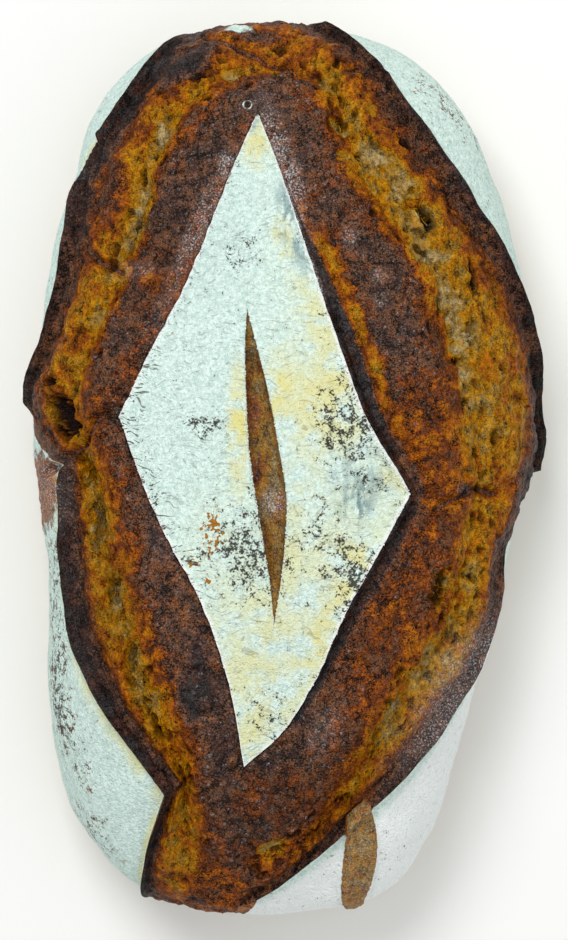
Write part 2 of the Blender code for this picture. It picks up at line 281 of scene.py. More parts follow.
# %% Tables along the way round and across the skin
EAR_CURL = (
    (0, 0), (0.01, 0), (0.016, 0.8), (0.06, 0.9), (0.15, 1), (0.2345, 1.2), (0.2365, 0), (0.265, 0),
    (0.29, 0.6), (0.36, 0.7), (0.47, 0.5), (0.485, 0), (0.515, 0), (0.535, 0.8), (0.57, 0.9),
    (0.65, 1.1), (0.732, 1.1), (0.742, 0), (0.76, 0), (0.77, 0.9), (0.93, 0.9), (0.965, 0.6),
    (0.98, 0), (1, 0),
)
EDGE_LIFT = (
    (0, 0), (0.07, 0.35), (0.15, 0.6), (0.22, 0.8), (0.25, 1), (0.3, 0.8), (0.38, 0.4), (0.44, 0),
    (1, 0),
)
BLOOM_PROFILE = (
    (0, 0), (0.25, 1.6), (0.55, 2), (0.8, 0.6), (1, -1.9), (1.2, -0.2), (1.5, 1.9), (1.8, 0.8),
    (2, 0),
)
EAR_PROFILE = (
    (-6, 0), (-5, -0.4), (-4, 0.3), (-2.6, 2), (-1.2, 3.4), (-0.3, 4), (0.2, 3.9), (0.8, 2.7),
    (1.6, 0.7), (3, -0.2), (8, 0), (12, 0),
)


def table(pairs, place):
    """Read a table of places and values, with straight lines between them."""
    places, values = zip(*pairs)
    return np.interp(place, places, values)


def smooth_table(pairs, place):
    """Read a table of places and values, with a smooth curve that never overshoots."""
    places, values = (np.array(column, dtype=float) for column in zip(*pairs))
    place = np.clip(place, places[0], places[-1])
    left = interval(places, place)
    chord = np.diff(values) / np.diff(places)
    product = chord[1:] * chord[:-1]
    rising = np.where(product > 0, 2 * product, 0)
    inner = rising / np.where(rising > 0, chord[1:] + chord[:-1], 1)
    gap = places[left + 1] - places[left]
    return curve((place - places[left]) / gap, gap, values, np.pad(inner, 1), left)


curl = table(EAR_CURL, around)
lift = smooth_table(EDGE_LIFT, around)
print("tallest ear, mm:", round(curl.max() * 4, 1))

# %% [markdown]
# ## Uneven as dough
#
# Dough never repeats. Slow swells come from a little noise function of our own, because it has
# to be the same for every piece that shares an edge. It blends random slopes at the corners of a
# grid of cubes, which is what Blender's noise texture does too.

# %% Noise in space
lattice = np.random.default_rng(20).normal(size=(32, 32, 32, 3))
lattice /= np.linalg.norm(lattice, axis=-1, keepdims=True)
print("corners of the noise grid:", lattice.shape[:3])


def swell(points, size, seed=0):
    """Smooth noise of about -0.7 to 0.7, with features of a size in millimetres."""
    where = points / size + seed * 7.31 + 64
    cell = np.floor(where).astype(int)
    inside = where - cell
    fade = inside ** 3 * (inside * (inside * 6 - 15) + 10)
    total = np.zeros(points.shape[:-1])
    for corner in np.ndindex(2, 2, 2):
        at = (cell + corner) % 32
        slope = lattice[at[..., 0], at[..., 1], at[..., 2]]
        weight = np.prod(np.where(corner, fade, 1 - fade), axis=-1)
        total += weight * np.einsum("...i,...i->...", slope, inside - corner)
    return total


# %% [markdown]
# ## The rings
#
# The skin is laid in rings from the bottom of the slash out over the diamond, the bloom and the
# ears and down to the base. Rings that follow the cuts keep every edge crisp with no more faces
# than needed, where a plain grid would cut the edges into steps. Each ring keeps a number, its
# place, that says where on the skin it is: whole numbers are the lines drawn above.

# %% Laying the rings
SLASH_FLOOR, SLASH_EDGE, PLATE_EDGE, PLATE_FOOT, TEAR_AT, VALLEY_AT, SKIN_AT, BASE_AT = range(8)
SLASH_DEPTH = 5
DIAMOND_RISE = 1
LIFTED_EDGE_RISE = 2.6
STEP_WIDTH, LIFTED_EDGE_WIDTH = 0.7, 3.2
EAR_REACH_IN, EAR_REACH_OUT = 6, 12
rings = []


def between(start, end, share):
    """Points a share of the way from one line to another."""
    return start + (end - start) * np.reshape(share, (-1, 1))


def toward(start, end, distance):
    """Points a distance out from one line on the way to another."""
    way = end - start
    way = way / np.maximum(np.linalg.norm(way, axis=1, keepdims=True), 1e-6)
    return start + way * np.reshape(distance, (-1, 1))


def lay(flat, height, place):
    """Add one ring."""
    rings.append((flat, np.broadcast_to(height, (COLUMNS,)), place))


# %% [markdown]
# The slash opened only a little. Its left lip hangs over the floor, and its right wall slopes.

# %% The slash
SLASH_RINGS = 14
LEFT_SECTION = ((0, -1), (0.6, -1.15), (1, -1.2), (1.12, -0.9), (1.1, -0.5), (1, -0.1))
RIGHT_SECTION = ((0, -1), (0.5, -0.85), (0.8, -0.65), (0.93, -0.4), (0.98, -0.2), (1, 0))
far_wall = np.roll(slash_line[::-1], 1, axis=0)
slash_width = np.linalg.norm(far_wall - slash_line, axis=1)
slash_depth = SLASH_DEPTH * smooth_step(0, 6, slash_width)
on_left = around > 0.5
for ring in range(SLASH_RINGS):
    along = ring / (SLASH_RINGS - 1) * 5
    left, right = (np.array([np.interp(along, range(6), column) for column in zip(*section)])
                   for section in (LEFT_SECTION, RIGHT_SECTION))
    out = np.where(on_left, left[0], right[0])
    depth = np.where(on_left, left[1], right[1])
    lay(between(slash_line, far_wall, 0.5 - 0.5 * out), depth * slash_depth + DIAMOND_RISE,
        SLASH_FLOOR + ring / (SLASH_RINGS - 1))
print("widest part of the slash, mm:", round(slash_width.max(), 1))

# %% [markdown]
# The plate is nearly flat, with a low lip round the slash. On the right its edge lifted off the
# loaf and burnt, so there it ends in a dark sloping face; on the left it runs into the old crust.

# %% The floured plate and its edge
PLATE_RINGS, FACE_RINGS = 66, 8
FACE_PROFILE = ((0, 1), (0.35, 0.92), (0.7, 0.45), (1, 0))
edge_height = DIAMOND_RISE + LIFTED_EDGE_RISE * lift
foot_height = 0.8 - 1.9 * smooth_step(0, 0.4, lift)
plate_width = np.linalg.norm(diamond_line - slash_line, axis=1)
for ring in range(1, PLATE_RINGS + 1):
    share = ring / PLATE_RINGS
    inward = plate_width * (1 - share)
    raised = (edge_height - DIAMOND_RISE) * np.exp(-inward / 4)
    lip = 0.5 * np.exp(-plate_width * share / 1.5) + 0.25 * np.exp(-inward / 0.8)
    lay(between(slash_line, diamond_line, share), DIAMOND_RISE + raised + lip, SLASH_EDGE + share)
face_width = STEP_WIDTH + LIFTED_EDGE_WIDTH * lift
foot_line = toward(diamond_line, tear_line, face_width)
for ring in range(1, FACE_RINGS + 1):
    share = ring / FACE_RINGS
    fall = smooth_table(FACE_PROFILE, share)
    lay(toward(diamond_line, tear_line, face_width * share),
        foot_height + (edge_height + 0.25 - foot_height) * fall, PLATE_EDGE + share)
print("rings out to the foot of the plate:", len(rings))

# %% The bloom, inside and outside the tear
INNER_RINGS, OUTER_RINGS = 60, 40
valley_line = toward(ear_line, tear_line, np.full(COLUMNS, EAR_REACH_IN))
for ring in range(1, INNER_RINGS + 1):
    share = ring / INNER_RINGS
    height = smooth_table(BLOOM_PROFILE, share) + foot_height * (1 - smooth_step(0, 0.3, share))
    lay(between(foot_line, tear_line, share), height, PLATE_FOOT + share)
for ring in range(1, OUTER_RINGS + 1):
    share = ring / OUTER_RINGS
    lay(between(tear_line, valley_line, share), smooth_table(BLOOM_PROFILE, 1 + share),
        TEAR_AT + share)
print("rings out to the valley:", len(rings))

# %% The ears
EAR_PLACES = np.concatenate((np.linspace(-5.7, -1.5, 13), np.linspace(-1.2, 1.8, 11),
                             np.linspace(2.4, EAR_REACH_OUT, 12)))
crest_points = smooth_form(ear_line)
ragged = 1 + 0.5 * swell(crest_points, 16, 4) + 0.08 * swell(crest_points, 6, 5)
for distance in EAR_PLACES:
    other = tear_line if distance < 0 else base_edge
    share = (distance + EAR_REACH_IN) / (EAR_REACH_IN + EAR_REACH_OUT)
    lay(toward(ear_line, other, np.full(COLUMNS, abs(distance))),
        curl * ragged * smooth_table(EAR_PROFILE, distance), VALLEY_AT + share)
skin_line = rings[-1][0]
print("rings out to the skin:", len(rings))

# %% The side and the underside
SIDE_RINGS, UNDER_RINGS = 56, 4
for ring in range(1, SIDE_RINGS + 1):
    share = ring / SIDE_RINGS
    lay(between(skin_line, base_edge, share), 0, SKIN_AT + share)
for ring in range(1, UNDER_RINGS + 1):
    share = ring / (UNDER_RINGS + 1)
    reach = (BASE_TRAVEL + (TRAVEL[-1] - BASE_TRAVEL) * share) / BASE_TRAVEL
    lay(base_edge * reach, 0, BASE_AT + share)

flat = np.stack([ring[0] for ring in rings])
height = np.stack([ring[1] for ring in rings]).copy()
place = np.array([ring[2] for ring in rings])
print("rings:", len(rings), "points:", flat.shape[0] * flat.shape[1])

# %% [markdown]
# ## Relief placed one by one
#
# Some things have a place of their own: the folds where one roll of dough lies on the next, the
# open holes in the torn crumb, the lifted tongue of crust at the near end. They are pressed into
# the rings one by one, in plan millimetres. An oval is typed as the x and y of its middle, half
# its length, half its width and its turn in degrees, then how deep or how strong it is.

# %% Where features lie
smooth = smooth_form(flat)
way = rise_way(flat)
plan = smooth[..., :2]
at = place[:, None] + np.zeros(COLUMNS)
share_round = around + np.zeros_like(at)
out_of_ear = np.interp(at, (VALLEY_AT, SKIN_AT, BASE_AT), (-EAR_REACH_IN, EAR_REACH_OUT, 70))
bloom_share = np.interp(at, (PLATE_FOOT, TEAR_AT, VALLEY_AT), (0, 1, 2))
on_top = smooth_step(0, GIRTH_HEIGHT, smooth[..., 2])
under_girth = smooth_step(GIRTH_HEIGHT, 6, smooth[..., 2])
FADE_IN_SIZES, FADE_IN_MM = 3.0, 30.0
LINE_REACH, FAR_AWAY = 8.0, 99.0


def spot(x, y, long, wide, turn=0):
    """How far each point over the girth is from an oval's middle: 1 on its outline."""
    side, up = math.cos(math.radians(turn)), math.sin(math.radians(turn))
    x, y = plan[..., 0] - x, plan[..., 1] - y
    off = np.hypot((x * side + y * up) / long, (y * side - x * up) / wide)
    return off + FADE_IN_SIZES * under_girth


def from_line(points):
    """Distance in plan from a smooth line, for points over the girth."""
    line = through(points, np.linspace(0, 1, 40))
    low, high = line.min(axis=0) - LINE_REACH, line.max(axis=0) + LINE_REACH
    close = np.all((plan > low) & (plan < high), axis=-1)
    distance = np.full(at.shape, FAR_AWAY)
    distance[close] = np.min(np.linalg.norm(plan[close][:, None] - line, axis=-1), axis=1)
    return distance + FADE_IN_MM * under_girth


# %% Swells and lumps
def lumps(*layers):
    """Several sizes of swell, each with its own height."""
    return sum(rise * swell(smooth, size, seed) for seed, (size, rise) in enumerate(layers))


def zone(start, end, soft=0.08):
    """1 between two places on the skin, 0 elsewhere."""
    return smooth_step(start - soft, start, at) * (1 - smooth_step(end, end + soft, at))


def on_stretch(rise_from, rise_to, fall_from, fall_to):
    """1 on a stretch of the way round, with soft ends."""
    return (smooth_step(rise_from, rise_to, share_round)
            * smooth_step(fall_to, fall_from, share_round))


x, y = flat[..., 0], flat[..., 1]
height += on_top * 1.1 * (0.6 * np.sin(x / 23 + 0.7) * np.cos(y / 31 + 0.4)
                          + 0.4 * np.sin((x + y) / 14) * np.cos((x - 0.6 * y) / 17 + 1))
in_slash = 1 - smooth_step(SLASH_EDGE - 0.1, SLASH_EDGE, at)
on_plate = zone(SLASH_EDGE, PLATE_EDGE, 0.02)
in_bloom = zone(PLATE_FOOT + 0.05, VALLEY_AT + 0.05, 0.14)
on_ear = zone(VALLEY_AT + 0.2, SKIN_AT, 0.2) * np.minimum(curl, 1)
on_side = zone(SKIN_AT - 0.3, BASE_AT, 0.3) * on_top
height += on_plate * lumps((14, 0.7), (5, 0.35), (2.3, 0.30), (1.2, 0.16))
height += in_slash * lumps((6, 0.6), (2.5, 0.4), (1.2, 0.2))
height += in_bloom * lumps((11, 2.4), (4.5, 1.4), (2.2, 0.8))
height += on_ear * lumps((11, 0.7), (4, 0.2), (1.6, 0.05))
rough = 1 - 0.75 * zone(VALLEY_AT + 0.15, SKIN_AT, 0.15)
rough *= 1 - 0.9 * smooth_step(7, 0, smooth[..., 2])
height += on_side * lumps((20, 2), (6, 0.5), (2.5, 0.12))
grooves = np.cos(out_of_ear * 2.6 + 3 * swell(smooth, 12, 9))
grooves *= smooth_step(-7, -4.5, out_of_ear)
height += 0.28 * on_ear * grooves * smooth_step(0.5, -0.5, out_of_ear)
print("relief so far, mm:", round(height.min(), 1), "to", round(height.max(), 1))

# %% Folds between the rolls
FOLDS = (
    (((-56, 100), (-60, 91), (-60.6, 79), (-60, 71), (-57, 65), (-54, 62), (-50, 60)), 2.2, 1.1),
    (((-24, 133), (-14, 129), (-7, 126), (2, 123)), 2.2, 1.2),
    (((-72, 0), (-66, 4), (-62, 7), (-55, 16), (-50, 19)), 2.6, 1.3),
    (((45, -12), (52, -8), (57, -6), (66, -8)), 2.2, 1.2),
    (((18, 121), (24, 122), (29, 120)), 1.6, 1),
)
fold = np.zeros_like(at)
for points, depth, width in FOLDS:
    distance = from_line(points)
    crease = peak(distance, 0, width)
    fold = np.maximum(fold, crease)
    height -= depth * crease
    height += 0.35 * depth * peak(distance, 2.2 * width, width)
print("folds:", len(FOLDS))

# %% [markdown]
# The holes are gas cells that the tear broke open, from a few large ones to hundreds of pinholes,
# all stretched along the tear. The large ones are listed from the photo and the small ones are
# strewn with a fixed seed, thickest where the crumb is palest.

# %% Holes in the crumb
HOLES = (
    (-67.6, 16.5, 8.8, 3.1, 108, 5), (-70.8, 27, 2, 1.5, 90, 3), (43, 75.5, 4.4, 1.9, -65, 5),
    (37, 99, 2.2, 1.3, -20, 3.5), (17, 124, 1.9, 1, -10, 2.5), (57, 59, 6, 0.9, -80, 3),
    (53, 33, 1.6, 1.3, 0, 2.5), (56, 21, 1.4, 1.2, 0, 2), (18, 105, 1.6, 1.2, 30, 2),
    (-57, -18, 5.6, 1.3, 84, 3.5), (-52, -36, 5.2, 2, 78, 3.5), (-46, -55, 2.6, 1.3, 80, 2.5),
    (-45, 73, 1.7, 1.1, 60, 2), (-23, 113, 1.6, 1, 10, 1.8), (-35, 108, 1.1, 0.9, 0, 1.5),
    (32, -70, 1.7, 1.4, 0, 2.2), (28, -80, 1.7, 1.2, 60, 2), (46.5, -36, 6.2, 2.4, 78, 2.6),
    (-60, -2, 3.8, 1.6, 84, 2), (54.5, -36.5, 0.9, 0.7, 0, 1.2), (58, -38, 2.2, 0.6, 70, 1.5),
    (-19, 125, 1.6, 0.9, 0, 1.8), (-3, -117, 1.8, 1, 30, 1.5), (1, -112, 1.4, 0.8, 30, 1.2),
)
pit_shade = np.zeros_like(at)
warp = 0.7 * swell(smooth, 2.4, 31) + 0.5 * swell(smooth, 1.1, 32)


def sink(x, y, long, wide, turn, depth):
    """Press one hole into the crumb, with a slight rim."""
    from_middle = spot(x, y, long, wide, turn) + warp
    floor = 1 - smooth_step(0.55, 1.1, from_middle)
    shade = 1 - smooth_step(0.7, 1.15, from_middle)
    rim = peak(from_middle, 1.25, 0.25)
    height[...] += 0.12 * min(depth, 3) * rim - depth * floor
    # The hole's floor and walls are mixed towards near-black brown: painted shade, darker in deeper
    # holes.
    pit_shade[...] = np.maximum(pit_shade, shade * min(1, 0.15 + 0.28 * depth))


for hole in HOLES:
    sink(*hole)
strew = np.random.default_rng(11)
SMALL_HOLES = 560
for _ in range(SMALL_HOLES):
    column = strew.integers(COLUMNS)
    row = int(np.argmin(np.abs(place - (TEAR_AT + strew.normal(0.08, 0.20)))))
    along = tear_line[(column + 4) % COLUMNS] - tear_line[column - 4]
    size = 0.32 + 0.85 * strew.random() ** 3
    sink(*plan[row, column], size * strew.uniform(1, 3), size,
         math.degrees(math.atan2(along[1], along[0])), 0.5 + 1.3 * size)
print("holes:", len(HOLES) + SMALL_HOLES)

# %% Long shallow hollows, where the crumb was stretched before it set
HOLLOWS = (
    (-59, -1.5, 4.6, 1.9, 84, 1.4), (-57, -18, 7.2, 2.6, 84, 1.5), (-51.5, -38, 7.2, 3, 78, 1.6),
    (-46, -55.5, 5.2, 2.4, 76, 1.4), (-40, -69.5, 4.8, 2, 66, 1.2), (-43.5, 77, 12, 3.4, 72, 1.4),
    (-36, 104, 7, 3.2, 55, 1.2), (-57, 46, 8, 2.2, 68, 0.8), (33, 90, 13, 3.6, -56, 1.6),
    (41, 76, 8, 4.2, -62, 1.2), (51, 50, 12, 2.6, -70, 1.6), (55.5, 27, 8, 2.2, -84, 1.3),
    (47, -36, 8, 3.4, 78, 1.4), (44, -55, 6.4, 2, 62, 1.2), (34, -72, 5, 1.8, 55, 1),
    (-16, 122, 6, 2, 6, 1), (16.8, 105, 3.6, 2.6, -50, 1.5), (26.7, 109, 2.8, 1.4, -60, 1.2),
    (12.3, 118, 3.4, 1.8, -45, 1.2), (18, 95, 3, 2, -40, 1.2), (-4, -115, 5, 2, 30, 1),
    (-2, 121.5, 3, 1.2, 10, 1.2), (57, 4, 5, 1.8, 86, 1),
)
hollow = np.zeros_like(at)
for *oval, depth in HOLLOWS:
    from_middle = spot(*oval) + 0.9 * warp
    inside = 1 - smooth_step(0.6, 1.15, from_middle)
    height += 0.4 * peak(from_middle, 1.3, 0.22) - depth * inside
    hollow = np.maximum(hollow, inside)
print("hollows:", len(HOLLOWS))

# %% The tongue, and the ring left by a burst blister
TONGUE = ((23, -103), (23.4, -110), (23, -120), (22, -127), (21, -134))
TONGUE_ROOT, TONGUE_LENGTH, TONGUE_HALF_WIDTH = -103, 32, 5.2
BLISTER_PLACE = -11, 110
tongue_along = np.clip((TONGUE_ROOT - plan[..., 1]) / TONGUE_LENGTH, 0, 1)
tongue_width = TONGUE_HALF_WIDTH * np.sin(math.pi * (0.10 + 0.86 * tongue_along)) ** 0.3
tongue_away = from_line(TONGUE) / np.maximum(tongue_width, 0.5)
tongue = (1 - smooth_step(0.85, 1.05, tongue_away)) * (at > VALLEY_AT)
height += 1.3 * tongue - 0.6 * peak(tongue_away, 1.15, 0.15) * (at > VALLEY_AT)
ring = peak(spot(*BLISTER_PLACE, 1.3, 1.3), 1, 0.25)
height += 0.7 * ring - 0.5 * (spot(*BLISTER_PLACE, 1, 1) < 1)
print("tongue, mm long:", TONGUE_LENGTH)

# %% [markdown]
# ## How far each spot is baked, and where flour lies
#
# The crust's colours come mostly from two things: how brown the crust is, and how much flour hides
# it. So each point carries a few numbers instead of a colour, with a few more for painted shade.
# "bake" runs from 0, the pale crumb at the tear, over gold, orange and red-brown to 1, charcoal;
# in the slash and along the folds it is also raised as painted shade. Tables give it in hundredths:
# each row is a place on the way round, then the bake at every place across.

# %% Bake, round the loaf and from the diamond (0) over the tear (1) to the ear (2)
ACROSS = (0, 0.15, 0.3, 0.5, 0.7, 0.85, 1, 1.25, 1.5, 1.75, 2)
BLOOM_BAKE = (
    (0, 62, 70, 72, 70, 62, 55, 45, 42, 45, 51, 58),
    (0.04, 60, 68, 70, 66, 55, 42, 30, 30, 36, 50, 58),
    (0.1, 34, 52, 66, 70, 60, 34, 10, 22, 36, 54, 60),
    (0.16, 32, 55, 74, 76, 72, 50, 8, 20, 30, 39, 47),
    (0.21, 62, 62, 68, 60, 48, 38, 20, 26, 36, 50, 60),
    (0.25, 70, 62, 56, 50, 45, 40, 32, 36, 48, 52, 61),
    (0.29, 75, 66, 62, 60, 52, 42, 22, 26, 36, 50, 58),
    (0.34, 70, 62, 56, 54, 50, 38, 16, 22, 32, 50, 58),
    (0.4, 72, 68, 62, 60, 52, 38, 20, 26, 38, 51, 58),
    (0.46, 72, 74, 72, 68, 64, 60, 54, 50, 52, 52, 56),
    (0.5, 72, 76, 78, 72, 64, 60, 56, 54, 56, 52, 55),
    (0.55, 70, 76, 80, 72, 58, 46, 38, 38, 42, 50, 58),
    (0.6, 68, 76, 80, 70, 46, 34, 24, 32, 42, 52, 59),
    (0.68, 66, 70, 62, 50, 38, 28, 20, 28, 40, 52, 59),
    (0.73, 64, 62, 56, 48, 42, 34, 30, 34, 42, 52, 58),
    (0.77, 62, 60, 58, 54, 46, 38, 30, 35, 42, 51, 59),
    (0.82, 58, 62, 74, 78, 70, 46, 22, 32, 38, 50, 59),
    (0.845, 50, 47, 45, 46, 66, 50, 22, 34, 42, 50, 58),
    (0.88, 56, 62, 74, 80, 68, 40, 20, 34, 44, 52, 60),
    (0.94, 58, 66, 76, 74, 60, 46, 32, 40, 48, 52, 59),
    (1, 62, 70, 72, 70, 62, 55, 45, 42, 45, 51, 58),
)

# %% Bake over the ears, by distance out from the crest in millimetres
OVER_EAR = (-6, -4, -2, 0, 1, 1.8, 3, 12, 40)
EAR_BAKE = (
    (0, 60, 64, 70, 70, 66, 62, 60, 55, 50),
    (0.02, 57, 60, 66, 90, 84, 50, 40, 42, 50),
    (0.06, 57, 60, 74, 94, 90, 50, 40, 42, 50),
    (0.13, 50, 56, 72, 95, 91, 50, 40, 42, 50),
    (0.18, 42, 52, 70, 96, 92, 50, 40, 42, 50),
    (0.23, 40, 46, 62, 98, 94, 60, 42, 42, 50),
    (0.24, 70, 80, 90, 98, 95, 80, 70, 50, 50),
    (0.265, 66, 72, 74, 74, 70, 62, 55, 45, 50),
    (0.29, 52, 64, 72, 80, 72, 50, 42, 42, 50),
    (0.46, 58, 72, 78, 80, 70, 50, 42, 42, 50),
    (0.485, 58, 54, 50, 50, 50, 50, 50, 50, 50),
    (0.515, 56, 52, 50, 52, 52, 52, 52, 50, 50),
    (0.53, 62, 80, 94, 98, 82, 45, 36, 42, 50),
    (0.62, 58, 76, 94, 98, 84, 40, 34, 42, 50),
    (0.735, 50, 60, 90, 98, 85, 40, 34, 42, 50),
    (0.745, 60, 62, 62, 62, 62, 60, 60, 50, 50),
    (0.76, 60, 62, 62, 62, 62, 60, 60, 50, 50),
    (0.77, 48, 54, 64, 88, 80, 36, 32, 42, 50),
    (0.83, 58, 60, 66, 90, 80, 36, 32, 42, 50),
    (0.875, 80, 87, 92, 95, 80, 36, 32, 42, 50),
    (0.96, 68, 88, 96, 97, 80, 40, 34, 42, 50),
    (1, 60, 64, 70, 70, 66, 62, 60, 55, 50),
)
CHAR_WIDTH = (
    (0, 0), (0.05, 0.3), (0.08, 2), (0.12, 4.4), (0.17, 5.6), (0.21, 5.4), (0.235, 7.2), (0.25, 6),
    (0.29, 6.6), (0.34, 5.8), (0.38, 4.6), (0.42, 3), (0.46, 0.6), (1, 0),
)
FLOUR_STARTS = (
    (0, 4), (0.02, 2.2), (0.23, 2.4), (0.24, 7), (0.265, 7), (0.285, 2), (0.465, 2), (0.485, 30),
    (0.515, 30), (0.53, 1.8), (0.735, 1.8), (0.745, 9), (0.76, 9), (0.77, 1.8), (0.96, 1.8),
    (0.975, 4), (1, 4),
)


def read_stations(stations, across, where):
    """Read a table of rows round the loaf, each with hundredths for every place across."""
    rows = np.array(stations)
    by_column = np.stack([np.interp(around, rows[:, 0], column / 100)
                          for column in rows[:, 1:].T])
    where = np.clip(where, across[0], across[-1])
    left = interval(across, where)
    column = np.broadcast_to(np.arange(COLUMNS), where.shape)
    share = (where - np.array(across)[left]) / np.diff(across)[left]
    return by_column[left, column] * (1 - share) + by_column[left + 1, column] * share


print("rows of bake, bloom and ears:", len(BLOOM_BAKE), len(EAR_BAKE))

# %% Lay the bake on the skin
waver = (0.16 * swell(smooth, 7, 21) + 0.12 * swell(smooth, 2.6, 22)
         + 0.06 * swell(smooth, 1.2, 23))
bloom_bake = read_stations(BLOOM_BAKE, ACROSS, bloom_share + waver)
crest_away = np.linalg.norm(plan - crest_points[:, :2], axis=-1)
from_crest = np.where(out_of_ear < 0, -crest_away, out_of_ear) + 5 * waver
ear_bake = read_stations(EAR_BAKE, OVER_EAR, from_crest)
bake = bloom_bake + (ear_bake - bloom_bake) * smooth_step(-6.5, -3.5, from_crest) * (at > TEAR_AT)
outside = np.linalg.norm(flat - diamond_line, axis=-1) * (at > PLATE_EDGE)
char_width = smooth_table(CHAR_WIDTH, around)
char = smooth_step(char_width + 0.7, char_width - 0.5, outside + 5 * waver)
gold = peak(outside - char_width - 3 + 6 * waver, 0, 2)
gold *= on_stretch(0.08, 0.11, 0.20, 0.235)
bake += (0.28 - bake) * 0.9 * gold * (at > PLATE_EDGE)
bake += (1 - bake) * char
bake += (0.84 - bake) * (at <= PLATE_EDGE)
# In the slash the left wall, under the overhanging lip, is browned further and the whole slash is
# darkened a little: painted shade.
shaded_wall = on_stretch(0.55, 0.75, 0.85, 0.93)
streaky = 0.4 * swell(smooth * (1, 0.3, 1), 3, 41)
bake += (0.24 + 0.16 * shaded_wall + streaky - bake) * in_slash
pit_shade = np.maximum(pit_shade, 0.24 * in_slash)


def patch(value, goal, x, y, long, wide, turn=0, strength=1, soft=0.5):
    """Draw a value towards a goal inside an oval with soft edges."""
    away = spot(x, y, long, wide, turn) + 2 * waver
    inside = 1 - smooth_step(1 - soft, 1 + soft, away)
    value += (goal - value) * inside * strength * on_top


# A goal, then an oval with a strength.
BAKE_PATCHES = (
    (1, -26.5, -65.6, 4.2, 7), (0.3, -30, -111, 5.5, 16, -8, 0.9),
    (0.26, -3, -117, 5, 2.4, 30, 0.8), (0.98, -29.5, 123.5, 8.5, 3.6, 34),
    (0.88, -51, 83, 4, 8, -20, 0.35), (0.55, 30, 101, 3, 8, 35, 0.35),
    (0.85, -9, 133, 9, 2, -10, 0.6), (0.92, 54, -6, 2.6, 2, 0, 0.8),
    (0.85, 46.5, -36, 2.2, 5.6, 0, 0.7), (0.12, 54.5, -36.5, 1.8, 1.3),
    (0.54, -2, -100, 20, 9, 0, 0.7), (0.42, 41, 8, 8, 24, 8, 0.55),
    (0.44, 32, -38, 7, 24, -28, 0.45),
)
# Patches of painted shade, mixed towards the same near-black brown as the holes.
PIT_SHADE_PATCHES = (
    (0.3, -2, -100, 22, 11), (0.16, -55, -35, 10, 36, 8), (0.16, -30, -112, 8, 18),
    (0.22, 22, -88, 8, 22, -40), (0.22, -38, 62, 7, 20, -22), (0.24, 76, 17, 4.5, 15),
    (0.22, -76, 32, 4, 14),
)
for value, patches in ((bake, BAKE_PATCHES), (pit_shade, PIT_SHADE_PATCHES)):
    for row in patches:
        patch(value, *row)
bake += (0.10 - bake) * 0.75 * hollow
# Painted shade on the inner side of each ear, below its curling crest.
near_crest = smooth_step(-11, -4, from_crest) * smooth_step(2, 0.5, from_crest)
pit_shade = np.maximum(pit_shade, 0.20 * near_crest * np.minimum(curl, 1))
bake += (0.22 - bake) * tongue
# A little painted shade on the tongue.
pit_shade = np.maximum(pit_shade, 0.16 * tongue)
# Along the folds the bake is raised: painted shade in the creases.
bake = np.maximum(bake, 0.75 * fold * on_top * (at > PLATE_FOOT))
print("bake from", round(bake.min(), 2), "to", round(bake.max(), 2))

# %% [markdown]
# Flour lies on the plate and on the sides below the ears. Where it is thin it looks cream, where
# the crust under it is dark it looks blue-grey, and where it has cracked off small dark specks
# show. Each of these is a patch with a soft edge; their grain is left to the material.

# %% Flour and how it varies
flour_from = table(FLOUR_STARTS, around)
low_on_side = 1 - 0.62 * smooth_step(40, 5, smooth[..., 2]) - 0.38 * (at > BASE_AT)
skin_flour = smooth_step(flour_from - 0.7, flour_from + 0.9, out_of_ear + 3 * waver) * low_on_side
plate_flour = 1 - smooth_step(PLATE_EDGE + 0.06, PLATE_EDGE + 0.14, at)
flour = np.where(at < TEAR_AT, plate_flour * (1 - in_slash), skin_flour) * (1 - tongue)
inward = (PLATE_EDGE - np.clip(at, SLASH_EDGE, PLATE_EDGE)) * plate_width
# The whitest flour, along the plate's rim, is a painted highlight on the lifted lip.
edge = peak(inward, 0.2, 0.45) * on_plate
cream, grey, speck, rust, dust_and_sheen = (np.zeros_like(at) for _ in range(5))
CREAM = (
    (-7.8, 100, 4.6, 8.5, 0, 0.8), (0, 68, 2.6, 6.5, 10, 0.8), (11.5, 40, 4.6, 21, 22, 0.65),
    (13, 18.5, 9, 11, 0, 0.8), (-13.6, 12, 2.7, 16, 0, 1), (-6.5, -57, 11, 20, 0, 0.4),
    (5, 20, 5, 22, 8, 0.35), (2, -18, 3, 18, 0, 0.4), (14, -45, 4, 19, -28, 0.7),
    (20, -29, 9, 8, 0, 0.5), (-10, -80, 4, 9, 0, 0.4), (33, -3, 5, 6, 0, 0.5),
    (0, -58, 34, 42, 0, 0.36), (24, -14, 22, 30, 0, 0.22), (-3, 22, 5, 10, 0, 0.9),
    (9, 88, 10, 40, -14, 0.1),
)
GREY = (
    (2.9, 74, 3.8, 12.5, 14, 1), (21, -10, 4.4, 5.6, 0, 1), (-8.6, 105, 1.8, 3.2, 0, 0.6),
    (24, -2, 8, 8, 0, 0.55), (-10, -24, 8, 9, 0, 0.15), (-22, 62, 10, 20, -25, 0.12),
)
SPECKS = (
    (-13, 64, 5, 6, 0, 0.55), (18.2, 13.4, 9.5, 14, 0, 0.85), (25.6, -4.5, 5, 3.4, 0, 1),
    (-9.5, -24, 12.5, 15.5, 0, 0.8), (19.7, -33, 7, 12.5, 0, 0.8), (-24, 13.7, 5.5, 3.4, 0, 0.9),
    (12, -22, 8, 10, 0, 0.6), (-16, 88, 3, 5, 0, 0.4), (-6, -72, 7, 8, 0, 0.55),
    (-12, -24.5, 5.4, 7.8, 0, 1),
)
